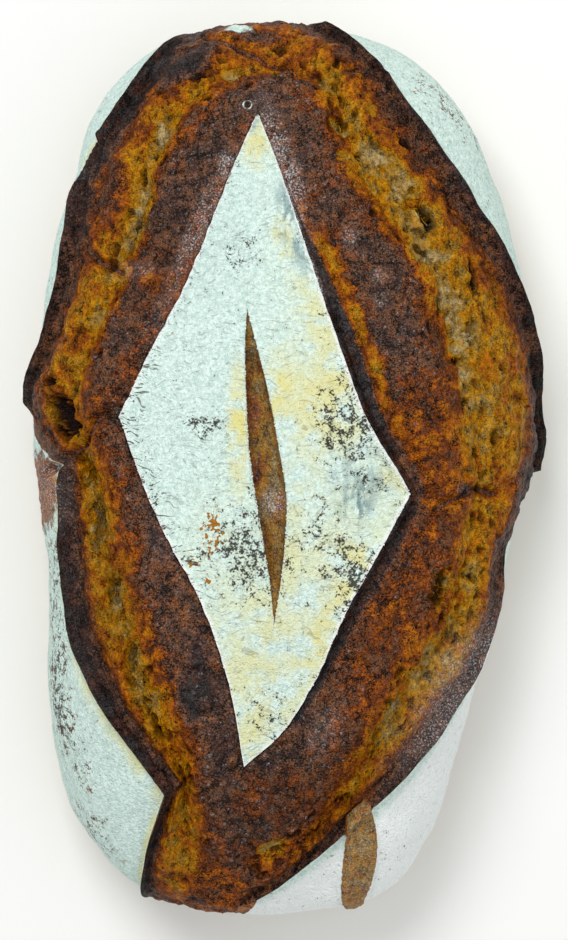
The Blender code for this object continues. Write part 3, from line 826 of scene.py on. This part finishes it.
RUST = (
    (-21.5, -19, 4, 6.4, 0, 0.85), (-27, -28, 1.6, 1.6, 0, 0.9), (-23, -33.4, 1.6, 1.6, 0, 0.9),
)
for value, patches in ((cream, CREAM), (grey, GREY), (speck, SPECKS), (rust, RUST)):
    for row in patches:
        patch(value, 1, *row, 0.7)
    value *= on_plate
cracked = on_stretch(0.58, 0.64, 0.78, 0.86) * smooth_step(14, 2, inward)
crack = np.maximum(cracked * on_plate, 0.35 * on_plate)
print("patches on the plate:", len(CREAM + GREY + SPECKS + RUST))
speck += 0.25 * on_plate * smooth_step(5, 1, inward)

# %% Dust of flour and a painted sheen on the dark crust, and streaks on the floured sides
DUST = (
    (-16.7, 91, 2.6, 4.2, 30, 1), (-0.5, 92, 5, 22, 18, 1), (-24, 76, 3.6, 26, -26, 0.8),
    (19.7, 70, 2.6, 3.2, 0, 0.7), (56, -62, 8, 34, -36, 0.8), (54, 95, 5, 40, 34, 0.4),
    (12, -78, 5, 8, -30, 0.6), (-44, 60, 7, 3, 0, 0.6), (28, 58, 2.6, 2.6, 0, 0.7),
    (28.5, 50.7, 2.2, 2.6, 0, 0.7), (9.2, 57, 2.4, 8.8, 16, 0.9), (-74, -8, 8, 14, 0, 0.8),
    (-36, 46, 3.5, 9, -30, 0.5), (-60, -45, 3, 30, 8, 0.2), (-70, 70, 4, 40, -22, 0.25),
    (-36, -20, 6, 8, 0, 0.3),
)
SIDE_SPECKS = (
    (-69, -66, 4, 20, 4, 0.9), (-71, -34, 3, 18, 0, 0.7), (-58, -112, 4, 12, 36, 0.7),
    (-63, -88, 4, 12, 20, 0.6), (62, -70, 3, 22, -20, 0.35), (50, 112, 4, 14, 44, 0.6),
)
for row in DUST:
    patch(dust_and_sheen, 1, *row, 0.6)
dust_and_sheen = np.maximum(dust_and_sheen, 0.6 * tongue)
dust_and_sheen = np.maximum(dust_and_sheen, 0.42 * in_slash)
# A faint painted sheen over the darker old crust, carried with the dust.
dust_and_sheen = np.maximum(dust_and_sheen, 0.16 * in_bloom * smooth_step(0.45, 0.65, bake))
flour = np.maximum(flour, 0.45 * ring)
dust_and_sheen = np.maximum(dust_and_sheen, ring)
patch(flour, 0.12, -75, -7, 6.5, 15, soft=0.85)
patch(flour, 0.62, -14.5, 135.6, 4.6, 1.7, soft=0.7)
patch(dust_and_sheen, 1, -3.3, -9.5, 3.8, 4.2)
for row in SIDE_SPECKS:
    patch(speck, 1, *row, 0.7)
near_ear = (at > VALLEY_AT) * smooth_step(9, 3, out_of_ear)
cream = np.maximum(cream, 0.6 * near_ear * smooth_step(0.50, 0.54, share_round))
streak = smooth_step(3, 9, out_of_ear) * (at > VALLEY_AT) * on_top
grey = np.maximum(grey, 0.10 * streak * smooth_step(0.50, 0.56, share_round))
# Painted light: the right flank, which slopes away, is lightened towards pure white.
edge = np.maximum(edge, 0.7 * streak * on_stretch(0.28, 0.33, 0.47, 0.49))
cream = np.maximum(cream, smooth_step(44, 10, smooth[..., 2]) * (at > VALLEY_AT) * 0.8)
crumb = smooth_step(0.42, 0.18, bake) * in_bloom
from_slash = (np.clip(at, SLASH_EDGE, PLATE_EDGE) - SLASH_EDGE) * plate_width
clump = on_plate * (np.exp(-from_slash / 1.1) + 0.5 * np.exp(-inward / 0.6) + 0.03)
blister = in_bloom * smooth_step(0.50, 0.64, bake) * (1 - char)
strand = in_bloom * np.maximum(hollow, 0.25 * (crumb > 0.6))
finish = {"bake": bake, "flour": flour, "edge": edge, "cream": cream, "grey": grey,
          "speck": speck, "rust": rust, "dust_and_sheen": dust_and_sheen, "crack": crack, "crumb": crumb, "pit_shade": pit_shade,
          "rough": rough, "clump": clump, "blister": blister, "strand": strand}
print("floured share of the skin:", round(float((flour > 0.5).mean()), 2))

# %% [markdown]
# ## From rings to pieces
#
# One mesh for the whole skin would be the easy way, but it would be too heavy for one texture.
# The skin is cut into five pieces along rings, where the real crust changes: the plate, the old
# crust inside the tear, the torn outer roll, the ears, and the side. Neighbours share a ring of
# points exactly, so no gap shows. Each piece is closed by a coarse skin of its own a few
# millimetres under the surface, since an open sheet would have no thickness.

# %% Build one closed piece
INNER_DEPTH = 9
points = smooth + way * height[..., None]
deep = smooth - way * INNER_DEPTH
PIECES = {"diamond_plate": (SLASH_FLOOR, PLATE_FOOT), "old_crust": (PLATE_FOOT, TEAR_AT),
          "torn_roll": (TEAR_AT, VALLEY_AT), "ears": (VALLEY_AT, SKIN_AT),
          "side_and_base": (SKIN_AT, BASE_AT + 1)}
print("pieces of skin:", len(PIECES))


def strip(first, second):
    """Quads between two rings of point numbers."""
    return np.stack((first, np.roll(first, -1), np.roll(second, -1), second), axis=-1)


def piece_rows(start, end):
    """The rows of the grid in a piece: both border rings belong to it."""
    last = int(np.argmin(np.abs(place - end))) if end <= BASE_AT else len(place) - 1
    return np.arange(int(np.argmin(np.abs(place - start))), last + 1)


def build_piece(name, start, end):
    """Outer rings, inner rings back again, and the middle of either end closed."""
    rows = piece_rows(start, end)
    inner_rows = rows[np.unique(np.linspace(2, len(rows) - 3, 7).astype(int))][::-1]
    ring_of = np.arange(COLUMNS)
    vertices = [points[rows].reshape(-1, 3), deep[inner_rows].reshape(-1, 3)]
    attributes = {key: np.concatenate((value[rows].ravel(), value[inner_rows].ravel()))
                  for key, value in finish.items()}
    rise = np.concatenate((way[rows].reshape(-1, 3), way[inner_rows].reshape(-1, 3) * 0))
    count = len(rows) + len(inner_rows)
    number = np.arange(count * COLUMNS).reshape(count, COLUMNS)
    zipped = start == SLASH_FLOOR
    if zipped:
        partner = (-ring_of) % COLUMNS
        number[0] = np.minimum(ring_of, partner)
        number[-1] = np.minimum(ring_of, partner) + (count - 1) * COLUMNS
        vertices[1][-COLUMNS:] = (deep[0] + deep[0][partner]) / 2
    faces = [strip(number[ring], number[ring + 1]) for ring in range(count - 1)]
    fans = []
    if end > BASE_AT:
        under, inside = points[rows[-1]].mean(axis=0), deep[inner_rows[0]].mean(axis=0)
        faces.pop(len(rows) - 1)
        for middle, ring in ((under, len(rows) - 1), (inside, len(rows))):
            fans.append((len(np.concatenate(vertices)), number[ring], ring == len(rows)))
            vertices.append(middle[None])
            rise = np.concatenate((rise, np.zeros((1, 3))))
            for key, value in finish.items():
                attributes[key] = np.append(attributes[key], value[rows[-1]].mean())
    if not zipped:
        faces.append(strip(number[-1], number[0]))
    borders = number[[len(rows) - 1]] if zipped else number[[0, len(rows) - 1]]
    return make_mesh(name, np.concatenate(vertices), faces, fans, attributes, rise, borders)


# %% Turn rings of points into a Blender mesh
def add_object(name, data):
    """Put a mesh, a lamp or a camera in the scene."""
    made = bpy.data.objects.new(name, data)
    bpy.context.collection.objects.link(made)
    return made


def make_mesh(name, vertices, quads, fans, attributes, rise, borders):
    """A smooth-shaded mesh with its numbers on the points, creased along its borders."""
    faces = np.concatenate(quads).tolist()
    for middle, ring, inside in fans:
        fan = np.stack((ring, np.roll(ring, -1), np.full(COLUMNS, middle)), axis=-1)
        faces += (fan[:, ::-1] if inside else fan).tolist()
    used, numbered = np.unique(np.concatenate([np.ravel(face) for face in faces]),
                               return_inverse=True)
    counts = np.cumsum([len(face) for face in faces])[:-1]
    faces = [face.tolist() for face in np.split(numbered, counts)]
    mesh = bpy.data.meshes.new(name)
    mesh.from_pydata((vertices[used] * MM).tolist(), [], faces, shade_flat=False)
    for key, value in attributes.items():
        mesh.attributes.new(key, "FLOAT", "POINT").data.foreach_set("value", value[used])
    mesh.attributes.new("rise", "FLOAT_VECTOR", "POINT").data.foreach_set(
        "vector", rise[used].ravel())
    ends = np.zeros(len(mesh.edges) * 2, dtype=int)
    mesh.edges.foreach_get("vertices", ends)
    on_border = np.isin(used[ends.reshape(-1, 2)], borders).all(axis=1)
    mesh.attributes.new("sharp_edge", "BOOLEAN", "EDGE").data.foreach_set("value", on_border)
    return add_object(name, mesh)


pieces = {name: build_piece(name, *span) for name, span in PIECES.items()}
for name, piece in pieces.items():
    print(name, "faces:", len(piece.data.polygons))

# %% [markdown]
# ## Fine relief
#
# The crust's grain covers everything and has no place of its own, so Geometry Nodes make it. Old
# crust is a carpet of tiny domes, where steam blistered the skin: Voronoi cells. Torn crumb is
# rough and fibrous: noise with many layers. Flour is a fine dry grain. One tree moves the points
# of every piece along the way that they rise, so shared edges still meet.

# %% One way to add a node
def add_node(tree, kind, links=(), **settings):
    """Add a node with settings; links gives its inputs values or other nodes' sockets."""
    node = tree.nodes.new(kind)
    for key, value in settings.items():
        setattr(node, key, value)
    for key, value in dict(links).items():
        value = getattr(value, "socket", value)
        if isinstance(value, bpy.types.NodeSocket):
            tree.links.new(value, node.inputs[key])
        else:
            node.inputs[key].default_value = value
    return node


def new_tree(name, inputs):
    """A geometry tree with named number inputs."""
    tree = bpy.data.node_groups.new(name, "GeometryNodeTree")
    tree.interface.new_socket("Geometry", in_out="INPUT", socket_type="NodeSocketGeometry")
    for label, value in inputs.items():
        tree.interface.new_socket(label, in_out="INPUT", socket_type="NodeSocketFloat") \
            .default_value = value
    tree.interface.new_socket("Geometry", in_out="OUTPUT", socket_type="NodeSocketGeometry")
    return tree, tree.nodes.new("NodeGroupInput").outputs


class Number:
    """A node's output that takes part in arithmetic: each sign adds one maths node."""

    def __init__(self, socket):
        self.socket = socket

    def maths(self, operation, first, second):
        """Add one maths node."""
        node = add_node(self.socket.id_data, "ShaderNodeMath", {0: first, 1: second},
                        operation=operation)
        return Number(node.outputs["Value"])

    def __add__(self, other):
        return self.maths("ADD", self, other)

    def __sub__(self, other):
        return self.maths("SUBTRACT", self, other)

    def __rsub__(self, other):
        return self.maths("SUBTRACT", other, self)

    def __mul__(self, other):
        return self.maths("MULTIPLY", self, other)

    def larger(self, other):
        """Whichever of two numbers is larger."""
        return self.maths("MAXIMUM", self, other)


def named(tree, name, kind="FLOAT"):
    """A number stored on the points."""
    return Number(add_node(tree, "GeometryNodeInputNamedAttribute", {"Name": name},
                           data_type=kind).outputs["Attribute"])


# %% Cells shared by the relief and the colour
SMALL_BLISTER, LARGE_BLISTER = 1.7, 3.6


def blister_cells(tree, position, size, feature="F1"):
    """How far a point is from the top of its blister, on wavering cells."""
    drift = add_node(tree, "ShaderNodeTexNoise", {
        "Vector": position, "Scale": 450 / size, "Detail": 1}).outputs["Color"]
    moved = add_node(tree, "ShaderNodeVectorMath", {
        0: drift, 1: (1.6 * size * MM,) * 3, 2: position}, operation="MULTIPLY_ADD")
    softened = {"Smoothness": 0.4} if feature == "SMOOTH_F1" else {}
    return Number(add_node(tree, "ShaderNodeTexVoronoi", {
        "Vector": moved.outputs["Vector"], "Scale": 1000 / size, **softened},
        feature=feature).outputs["Distance"])


# %% The relief tree
def relief_tree():
    """Blisters on old crust, fibres on torn crumb, grain on flour."""
    tree, given = new_tree("crust_relief", {"Blister height": 0.55, "Crumb height": 2.6,
                                            "Flour grain": 0.32, "Crackle depth": 0.6})
    position = tree.nodes.new("GeometryNodeInputPosition").outputs["Position"]

    def noise(scale, detail, roughness=0.5):
        return Number(add_node(tree, "ShaderNodeTexNoise", {
            "Vector": position, "Scale": scale, "Detail": detail,
            "Roughness": roughness}).outputs["Fac"])

    crumb, flour, rough = (named(tree, key) for key in ("crumb", "flour", "rough"))
    cells, bubbles = (blister_cells(tree, position, size, "SMOOTH_F1")
                      for size in (SMALL_BLISTER, LARGE_BLISTER))
    domes = (0.5 - cells) * (noise(170, 2) * 3 - 0.7) + (0.45 - bubbles) * 2.2
    torn, grain = noise(330, 5, 0.68) - 0.5, noise(900, 3, 0.6) - 0.5
    bare = (1 - flour) * rough
    blisters = domes * bare * ((1 - crumb * 0.8) * given["Blister height"])
    fibres = torn * ((crumb * 0.8 + 0.2) * (bare * given["Crumb height"]))
    dry = grain * (flour * given["Flour grain"]) + grain * (bare * given["Crackle depth"])
    offset = add_node(tree, "ShaderNodeVectorMath", {
        0: named(tree, "rise", "FLOAT_VECTOR"), "Scale": (blisters + fibres + dry) * MM},
        operation="SCALE")
    moved = add_node(tree, "GeometryNodeSetPosition", {"Geometry": given["Geometry"],
                     "Offset": offset.outputs["Vector"]}).outputs["Geometry"]
    return tree, moved


def end_tree(tree, geometry, material):
    """Every tree ends by making its copies real and giving them their material."""
    real = add_node(tree, "GeometryNodeRealizeInstances", {"Geometry": geometry})
    painted = add_node(tree, "GeometryNodeSetMaterial", {"Geometry": real.outputs["Geometry"],
                       "Material": material})
    add_node(tree, "NodeGroupOutput", {"Geometry": painted.outputs["Geometry"]})


def apply_tree(tree, source, name, settings=()):
    """Run a tree on an object and keep the result as a plain mesh."""
    holder = add_object(name + "_source", source.data)
    modifier = holder.modifiers.new("tree", "NODES")
    modifier.node_group = tree
    labels = {item.name: item.identifier for item in tree.interface.items_tree
              if item.in_out == "INPUT"}
    for label, value in dict(settings).items():
        modifier[labels[label]] = value
    evaluated = holder.evaluated_get(bpy.context.evaluated_depsgraph_get())
    mesh = bpy.data.meshes.new_from_object(evaluated)
    mesh.name = name
    bpy.data.objects.remove(holder)
    return add_object(name, mesh)


# %% [markdown]
# ## The crust's material
#
# Bread crust has no paint and no pattern: it is one material that browned by a different amount
# at each spot. So one material serves every piece. It reads the numbers on the points, roughens
# them with noise at the sizes the eye sees on the real crust, and looks the bake up in a ramp of
# browns. Flour is laid over it and is broken up by specks, cracks and a blue-grey bloom. Light and
# shade are painted into the colour as well: highlights on blister tops, shade between them, in the
# holes and in the flour's furrows, whiter flour on the rims, and a whitish sheen on dark crust.

# %% Colours
def linear(code):
    """An sRGB hex colour as the linear light that Blender works in."""
    parts = [int(code[place:place + 2], 16) / 255 for place in (0, 2, 4)]
    return [part / 12.92 if part <= 0.04045 else ((part + 0.055) / 1.055) ** 2.4
            for part in parts] + [1.0]


BAKE_COLOURS = ((0.00, "b29e72"), (0.12, "9a7a3a"), (0.25, "a97602"), (0.38, "a35e02"),
                (0.47, "8e4808"), (0.56, "632f0f"), (0.65, "6e462a"), (0.78, "53392e"),
                (0.90, "3b2017"), (1.00, "302d2c"))
FLOUR_WHITE, FLOUR_SHADE = "e8fdf5", "cae3da"
FLOUR_CREAM, FLOUR_GREY, FLOUR_HIGHLIGHT_WHITE, FLOUR_GAP = "e8e090", "7f9ca0", "ffffff", "464842"
RUST_BROWN, DUST_AND_SHEEN_GREY, DUST_AND_SHEEN_WHITE, PIT_SHADE_DARK = "a8722a", "9c8c86", "d4d4d6", "160702"
print("browns from pale to charred:", len(BAKE_COLOURS))


# %% The material tree
def crust_material():
    """Baked sourdough crust under flour.

    Real crust is dull to satin, with a dry sheen on the darkest blisters: index 1.45 and
    roughness 0.4 to 0.6. Flour is fully matt and scatters nearly all light, with no
    highlight. Charred edges are dark and matt like charcoal.
    """
    material = bpy.data.materials.new("floured_sourdough_crust")
    material.use_nodes = True
    tree = material.node_tree
    shader = tree.nodes["Principled BSDF"]
    place_on = tree.nodes.new("ShaderNodeTexCoord").outputs["Object"]

    def value(name):
        return Number(add_node(tree, "ShaderNodeAttribute", attribute_name=name).outputs["Fac"])

    def drawn_out(start, by):
        return add_node(tree, "ShaderNodeVectorMath", {0: start, 1: by},
                        operation="MULTIPLY").outputs["Vector"]

    def noise(size, detail=2, roughness=0.5, where=place_on):
        return Number(add_node(tree, "ShaderNodeTexNoise", {
            "Vector": where, "Scale": 1000 / size, "Detail": detail,
            "Roughness": roughness}).outputs["Fac"])

    def rise_between(number, low, high):
        return Number(add_node(tree, "ShaderNodeMapRange", {
            "Value": number, "From Min": low, "From Max": high},
            interpolation_type="SMOOTHSTEP").outputs["Result"])

    def blend(share, under, over):
        under, over = (linear(item) if isinstance(item, str) else item for item in (under, over))
        return add_node(tree, "ShaderNodeMix", {0: share, 6: under, 7: over},
                        data_type="RGBA").outputs[2]

    broad, medium, fine = noise(7, 3), noise(2.2, 3, 0.6), noise(0.65, 1)
    speckle = noise(0.42, 0)
    cells = Number(add_node(tree, "ShaderNodeTexVoronoi", {
        "Vector": place_on, "Scale": 1150}, feature="F1").outputs["Distance"])
    baked, dust_and_sheen, crack = value("bake"), value("dust_and_sheen"), value("crack")

    soft = value("crumb").larger(rise_between(baked, 0.62, 0.42) * 0.75)
    grain = 1 - soft * 0.7
    brown = broad * 0.80 + baked + medium * 0.46 - 0.63 + (fine - 0.5) * (grain * 0.25)
    ramp = add_node(tree, "ShaderNodeValToRGB", {"Fac": brown.larger(baked - 0.12)})
    stops = ramp.color_ramp.elements
    for _ in BAKE_COLOURS[2:]:
        stops.new(0.5)
    for stop, (position, code) in zip(stops, BAKE_COLOURS):
        stop.position, stop.color = position, linear(code)
    fibres = noise(1.5, 3, 0.6, drawn_out(place_on, (1, 0.45, 1)))
    domes, bubbles = (blister_cells(tree, place_on, size)
                      for size in (SMALL_BLISTER, LARGE_BLISTER))
    # Painted highlight and shade: blister tops are lightened and the creases between the cells
    # darkened, over a fine grain.
    glint_and_shade = (speckle - 0.5) * 3.1 - cells * 1.5 - bubbles * 1.5 - domes * 1.05 + 1.825
    glint_and_shade = glint_and_shade * grain + 1 + soft * (fibres - 0.5) * 2.6
    crust = add_node(tree, "ShaderNodeHueSaturation", {
        "Value": glint_and_shade, "Color": ramp.outputs["Color"]}).outputs["Color"]
    # Painted shade: holes, the slash, the ears' inner sides and the shaded patches go towards
    # near-black brown.
    crust = blend(value("pit_shade"), crust, PIT_SHADE_DARK)

    # Flour dust, and a painted sheen: a grey film and whitish specks over the dark crust, faint
    # everywhere.
    powder_and_sheen = rise_between(dust_and_sheen * 0.16 + noise(0.6, 2, 0.6), 0.60, 0.86)
    crust = blend(dust_and_sheen * (medium * 0.36), crust, DUST_AND_SHEEN_GREY)
    crust = blend(powder_and_sheen * (dust_and_sheen * 0.8 + 0.07), crust, DUST_AND_SHEEN_WHITE)

    flour = rise_between((medium - 0.5) * 0.9 + value("flour"), 0.30, 0.55)
    loose = noise(0.6) * 0.50 + noise(3.2) * 0.40 + value("speck") * 0.17 + domes * 0.16
    loose = rise_between(loose, 0.645, 0.750)
    bend = add_node(tree, "ShaderNodeTexNoise", {
        "Vector": place_on, "Scale": 110, "Detail": 1}).outputs["Color"]
    bent = add_node(tree, "ShaderNodeVectorMath", {
        0: bend, 1: (9 * MM,) * 3, 2: place_on}, operation="MULTIPLY_ADD").outputs["Vector"]
    lines = noise(1, 1, where=drawn_out(bent, (0.20, 1.5, 1)))
    lines = rise_between(crack * 0.035 + lines, 0.63, 0.68) * crack
    flour = flour * (1 - loose.larger(lines * 0.85))

    # Painted shade in the flour's fine furrows, which turn blue-grey.
    furrow_shade = domes * 0.30 + noise(0.8, 3, 0.7)
    white = blend(rise_between(furrow_shade, 0.50, 0.80), FLOUR_WHITE, FLOUR_SHADE)
    white = blend(value("cream") * rise_between(broad, 0.30, 0.60), white, FLOUR_CREAM)
    streaks = noise(2.6, 3, 0.6, drawn_out(place_on, (1, 0.35, 1)))
    streaks = rise_between(streaks, 0.36, 0.60)
    white = blend(value("grey") * streaks, white, FLOUR_GREY)
    rusty = rise_between(value("rust") * 0.30 + noise(1.3), 0.74, 0.80)
    white = blend(rusty, white, RUST_BROWN)
    # Painted highlight: the plate's rim and the right flank go to pure white.
    white = blend(value("edge"), white, FLOUR_HIGHLIGHT_WHITE)
    final = blend(flour, blend(value("speck"), crust, FLOUR_GAP), white)

    bumps = add_node(tree, "ShaderNodeBump", {
        "Height": fine + (speckle - cells), "Strength": 0.8, "Distance": 0.35 * MM})
    satin = add_node(tree, "ShaderNodeMapRange", {
        "Value": medium, "From Min": 0.35, "From Max": 0.65, "To Min": 0.40, "To Max": 0.60})
    rough = add_node(tree, "ShaderNodeMix", {0: flour, 2: satin.outputs["Result"], 3: 0.95})
    tree.links.new(final, shader.inputs["Base Color"])
    tree.links.new(rough.outputs[0], shader.inputs["Roughness"])
    tree.links.new(bumps.outputs["Normal"], shader.inputs["Normal"])
    shader.inputs["IOR"].default_value = 1.45
    shader.inputs["Specular IOR Level"].default_value = 0.12
    return material


crust_finish = crust_material()
relief, moved_points = relief_tree()
end_tree(relief, moved_points, crust_finish)
for name in PIECES:
    plain = pieces[name]
    pieces[name] = apply_tree(relief, plain, name + "_skin")
    bpy.data.objects.remove(plain)
print("pieces with relief:", len(pieces))

# %% [markdown]
# ## What is strewn over the crust
#
# Three small things stand clear of the skin and catch the light: blisters on the old crust, grains
# of flour along the cut edges, and threads of gluten across the hollows in the torn crumb. Each is
# one small shape, copied over the skin with a fixed seed, thickest where its own number is high.


# %% One tree for anything strewn
def strewn_tree(name, where, shape_of, numbers):
    """Copies of a small closed shape on the skin, turned to it, with numbers of their own."""
    tree, given = new_tree(name, {"Count per square metre": 1e5, "Smallest": MM, "Largest": MM,
                                  "Seed": 1.0})
    outward = add_node(tree, "ShaderNodeVectorMath", {0: named(tree, "rise", "FLOAT_VECTOR")},
                       operation="LENGTH").outputs["Value"]
    spread = add_node(tree, "GeometryNodeDistributePointsOnFaces", {
        "Mesh": given["Geometry"], "Seed": given["Seed"],
        "Density": named(tree, where) * outward * given["Count per square metre"]})
    angle = add_node(tree, "FunctionNodeRandomValue", {3: 2 * math.pi, "Seed": 5},
                     data_type="FLOAT").outputs[1]
    about = add_node(tree, "FunctionNodeAxisAngleToRotation", {"Angle": angle})
    facing = add_node(tree, "FunctionNodeRotateRotation", {
        "Rotation": spread.outputs["Rotation"], "Rotate By": about.outputs["Rotation"]},
        rotation_space="LOCAL")
    size = add_node(tree, "FunctionNodeRandomValue", {
        2: given["Smallest"], 3: given["Largest"], "Seed": 9}, data_type="FLOAT").outputs[1]
    copies = add_node(tree, "GeometryNodeInstanceOnPoints", {
        "Points": spread.outputs["Points"], "Instance": shape_of(tree),
        "Rotation": facing.outputs["Rotation"], "Scale": size}).outputs["Instances"]
    for key, value in numbers.items():
        copies = add_node(tree, "GeometryNodeStoreNamedAttribute", {
            "Geometry": copies, "Name": key, "Value": value},
            data_type="FLOAT", domain="INSTANCE").outputs["Geometry"]
    end_tree(tree, copies, crust_finish)
    return tree


# %% The three shapes, one unit across the radius
def dome(tree, flatness, rounds):
    """A ball squashed to a height, meant to sit half sunk."""
    ball = add_node(tree, "GeometryNodeMeshIcoSphere", {"Radius": 1, "Subdivisions": rounds})
    flat = add_node(tree, "GeometryNodeTransform", {"Geometry": ball.outputs["Mesh"],
                    "Scale": (1, 0.8, flatness)})
    return add_node(tree, "GeometryNodeSetShadeSmooth", {
        "Geometry": flat.outputs["Geometry"]}).outputs["Geometry"]


def thread(tree):
    """A bowed thread with closed ends, both of them under the skin."""
    bow = add_node(tree, "GeometryNodeCurveQuadraticBezier", {
        "Resolution": 6, "Start": (-1, 0, -0.35), "Middle": (0.1, 0.15, 0.75),
        "End": (1, 0, -0.35)})
    outline = add_node(tree, "GeometryNodeCurvePrimitiveCircle", {"Resolution": 5, "Radius": 0.10})
    solid = add_node(tree, "GeometryNodeCurveToMesh", {
        "Curve": bow.outputs["Curve"], "Profile Curve": outline.outputs["Curve"],
        "Fill Caps": True})
    return add_node(tree, "GeometryNodeSetShadeSmooth", {
        "Geometry": solid.outputs["Mesh"]}).outputs["Geometry"]


# %% Strew them
STREWN = {
    "old_crust_blisters": ("old_crust", "blister", lambda tree: dome(tree, 0.5, 2), {"dust_and_sheen": 0.5},
                           {"Count per square metre": 9e4, "Smallest": 0.35 * MM,
                            "Largest": 1.1 * MM, "Seed": 3.0}),
    "flour_grains": ("diamond_plate", "clump", lambda tree: dome(tree, 0.7, 1),
                     {"flour": 1.0, "speck": 0.0, "edge": 0.6, "grey": 0.0, "crack": 0.0},
                     {"Count per square metre": 1.5e6, "Smallest": 0.12 * MM,
                      "Largest": 0.42 * MM, "Seed": 4.0}),
    "torn_threads": ("torn_roll", "strand", thread, {"bake": 0.20, "pit_shade": 0.0, "crumb": 1.0},
                     {"Count per square metre": 1.6e5, "Smallest": 0.7 * MM,
                      "Largest": 2.0 * MM, "Seed": 5.0}),
    "old_crust_threads": ("old_crust", "strand", thread, {"bake": 0.20, "pit_shade": 0.0, "crumb": 1.0},
                          {"Count per square metre": 1.6e5, "Smallest": 0.7 * MM,
                           "Largest": 2.0 * MM, "Seed": 6.0}),
}
for name, (carrier, where, shape_of, numbers, settings) in STREWN.items():
    tree = strewn_tree(name, where, shape_of, numbers)
    pieces[name] = apply_tree(tree, pieces[carrier], name, settings)
    print(name, "faces:", len(pieces[name].data.polygons))

# %% [markdown]
# ## Attach the pieces, and light them
#
# The photo looks straight down on the loaf, from a distance at which the far and near ends look
# alike. A long lens does the same. The light is a soft box from the upper left, a wider and
# weaker one from the lower right and pale surroundings, over a plain pale table.

# %% Pieces, floor, lights and camera
for piece in pieces.values():
    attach(piece, "root")
    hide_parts("loaf")
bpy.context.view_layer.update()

floor_material = bpy.data.materials.new("pale_matt_table")
floor_material.use_nodes = True
floor_shader = floor_material.node_tree.nodes["Principled BSDF"]
floor_shader.inputs["Base Color"].default_value = linear("fcfcfb")
floor_shader.inputs["Roughness"].default_value = 0.9
floor_mesh = bpy.data.meshes.new("table_top")
floor_mesh.from_pydata([(-2, -2, 0), (2, -2, 0), (2, 2, 0), (-2, 2, 0)], [], [(0, 1, 2, 3)])
floor_mesh.materials.append(floor_material)
floor = add_object("table_top", floor_mesh)

scene = bpy.context.scene
scene.view_settings.view_transform = "Standard"
world = bpy.data.worlds.new("pale_room")
world.use_nodes = True
world.node_tree.nodes["Background"].inputs["Color"].default_value = (1, 1, 1, 1)
world.node_tree.nodes["Background"].inputs["Strength"].default_value = 0.50
scene.world = world


def soft_box(name, position, size, power):
    """A square lamp that faces the loaf."""
    lamp = bpy.data.lights.new(name, "AREA")
    lamp.shape, lamp.size, lamp.energy = "SQUARE", size, power
    holder = add_object(name, lamp)
    holder.location = position
    direction = Vector((0, 0, 0.05)) - Vector(position)
    holder.rotation_euler = direction.to_track_quat("-Z", "Y").to_euler()


soft_box("key_light", (-0.30, 0.65, 1.45), 0.6, 12.1)
soft_box("fill_light", (0.7, -0.5, 1.5), 1.6, 5.5)

CAMERA_DISTANCE = 1.110
lens = bpy.data.cameras.new("plan_view")
lens.lens, lens.sensor_width = 135, 36
camera = add_object("plan_view", lens)
camera.location = (0, 0, CAMERA_DISTANCE + GIRTH_HEIGHT * MM)
scene.camera = camera
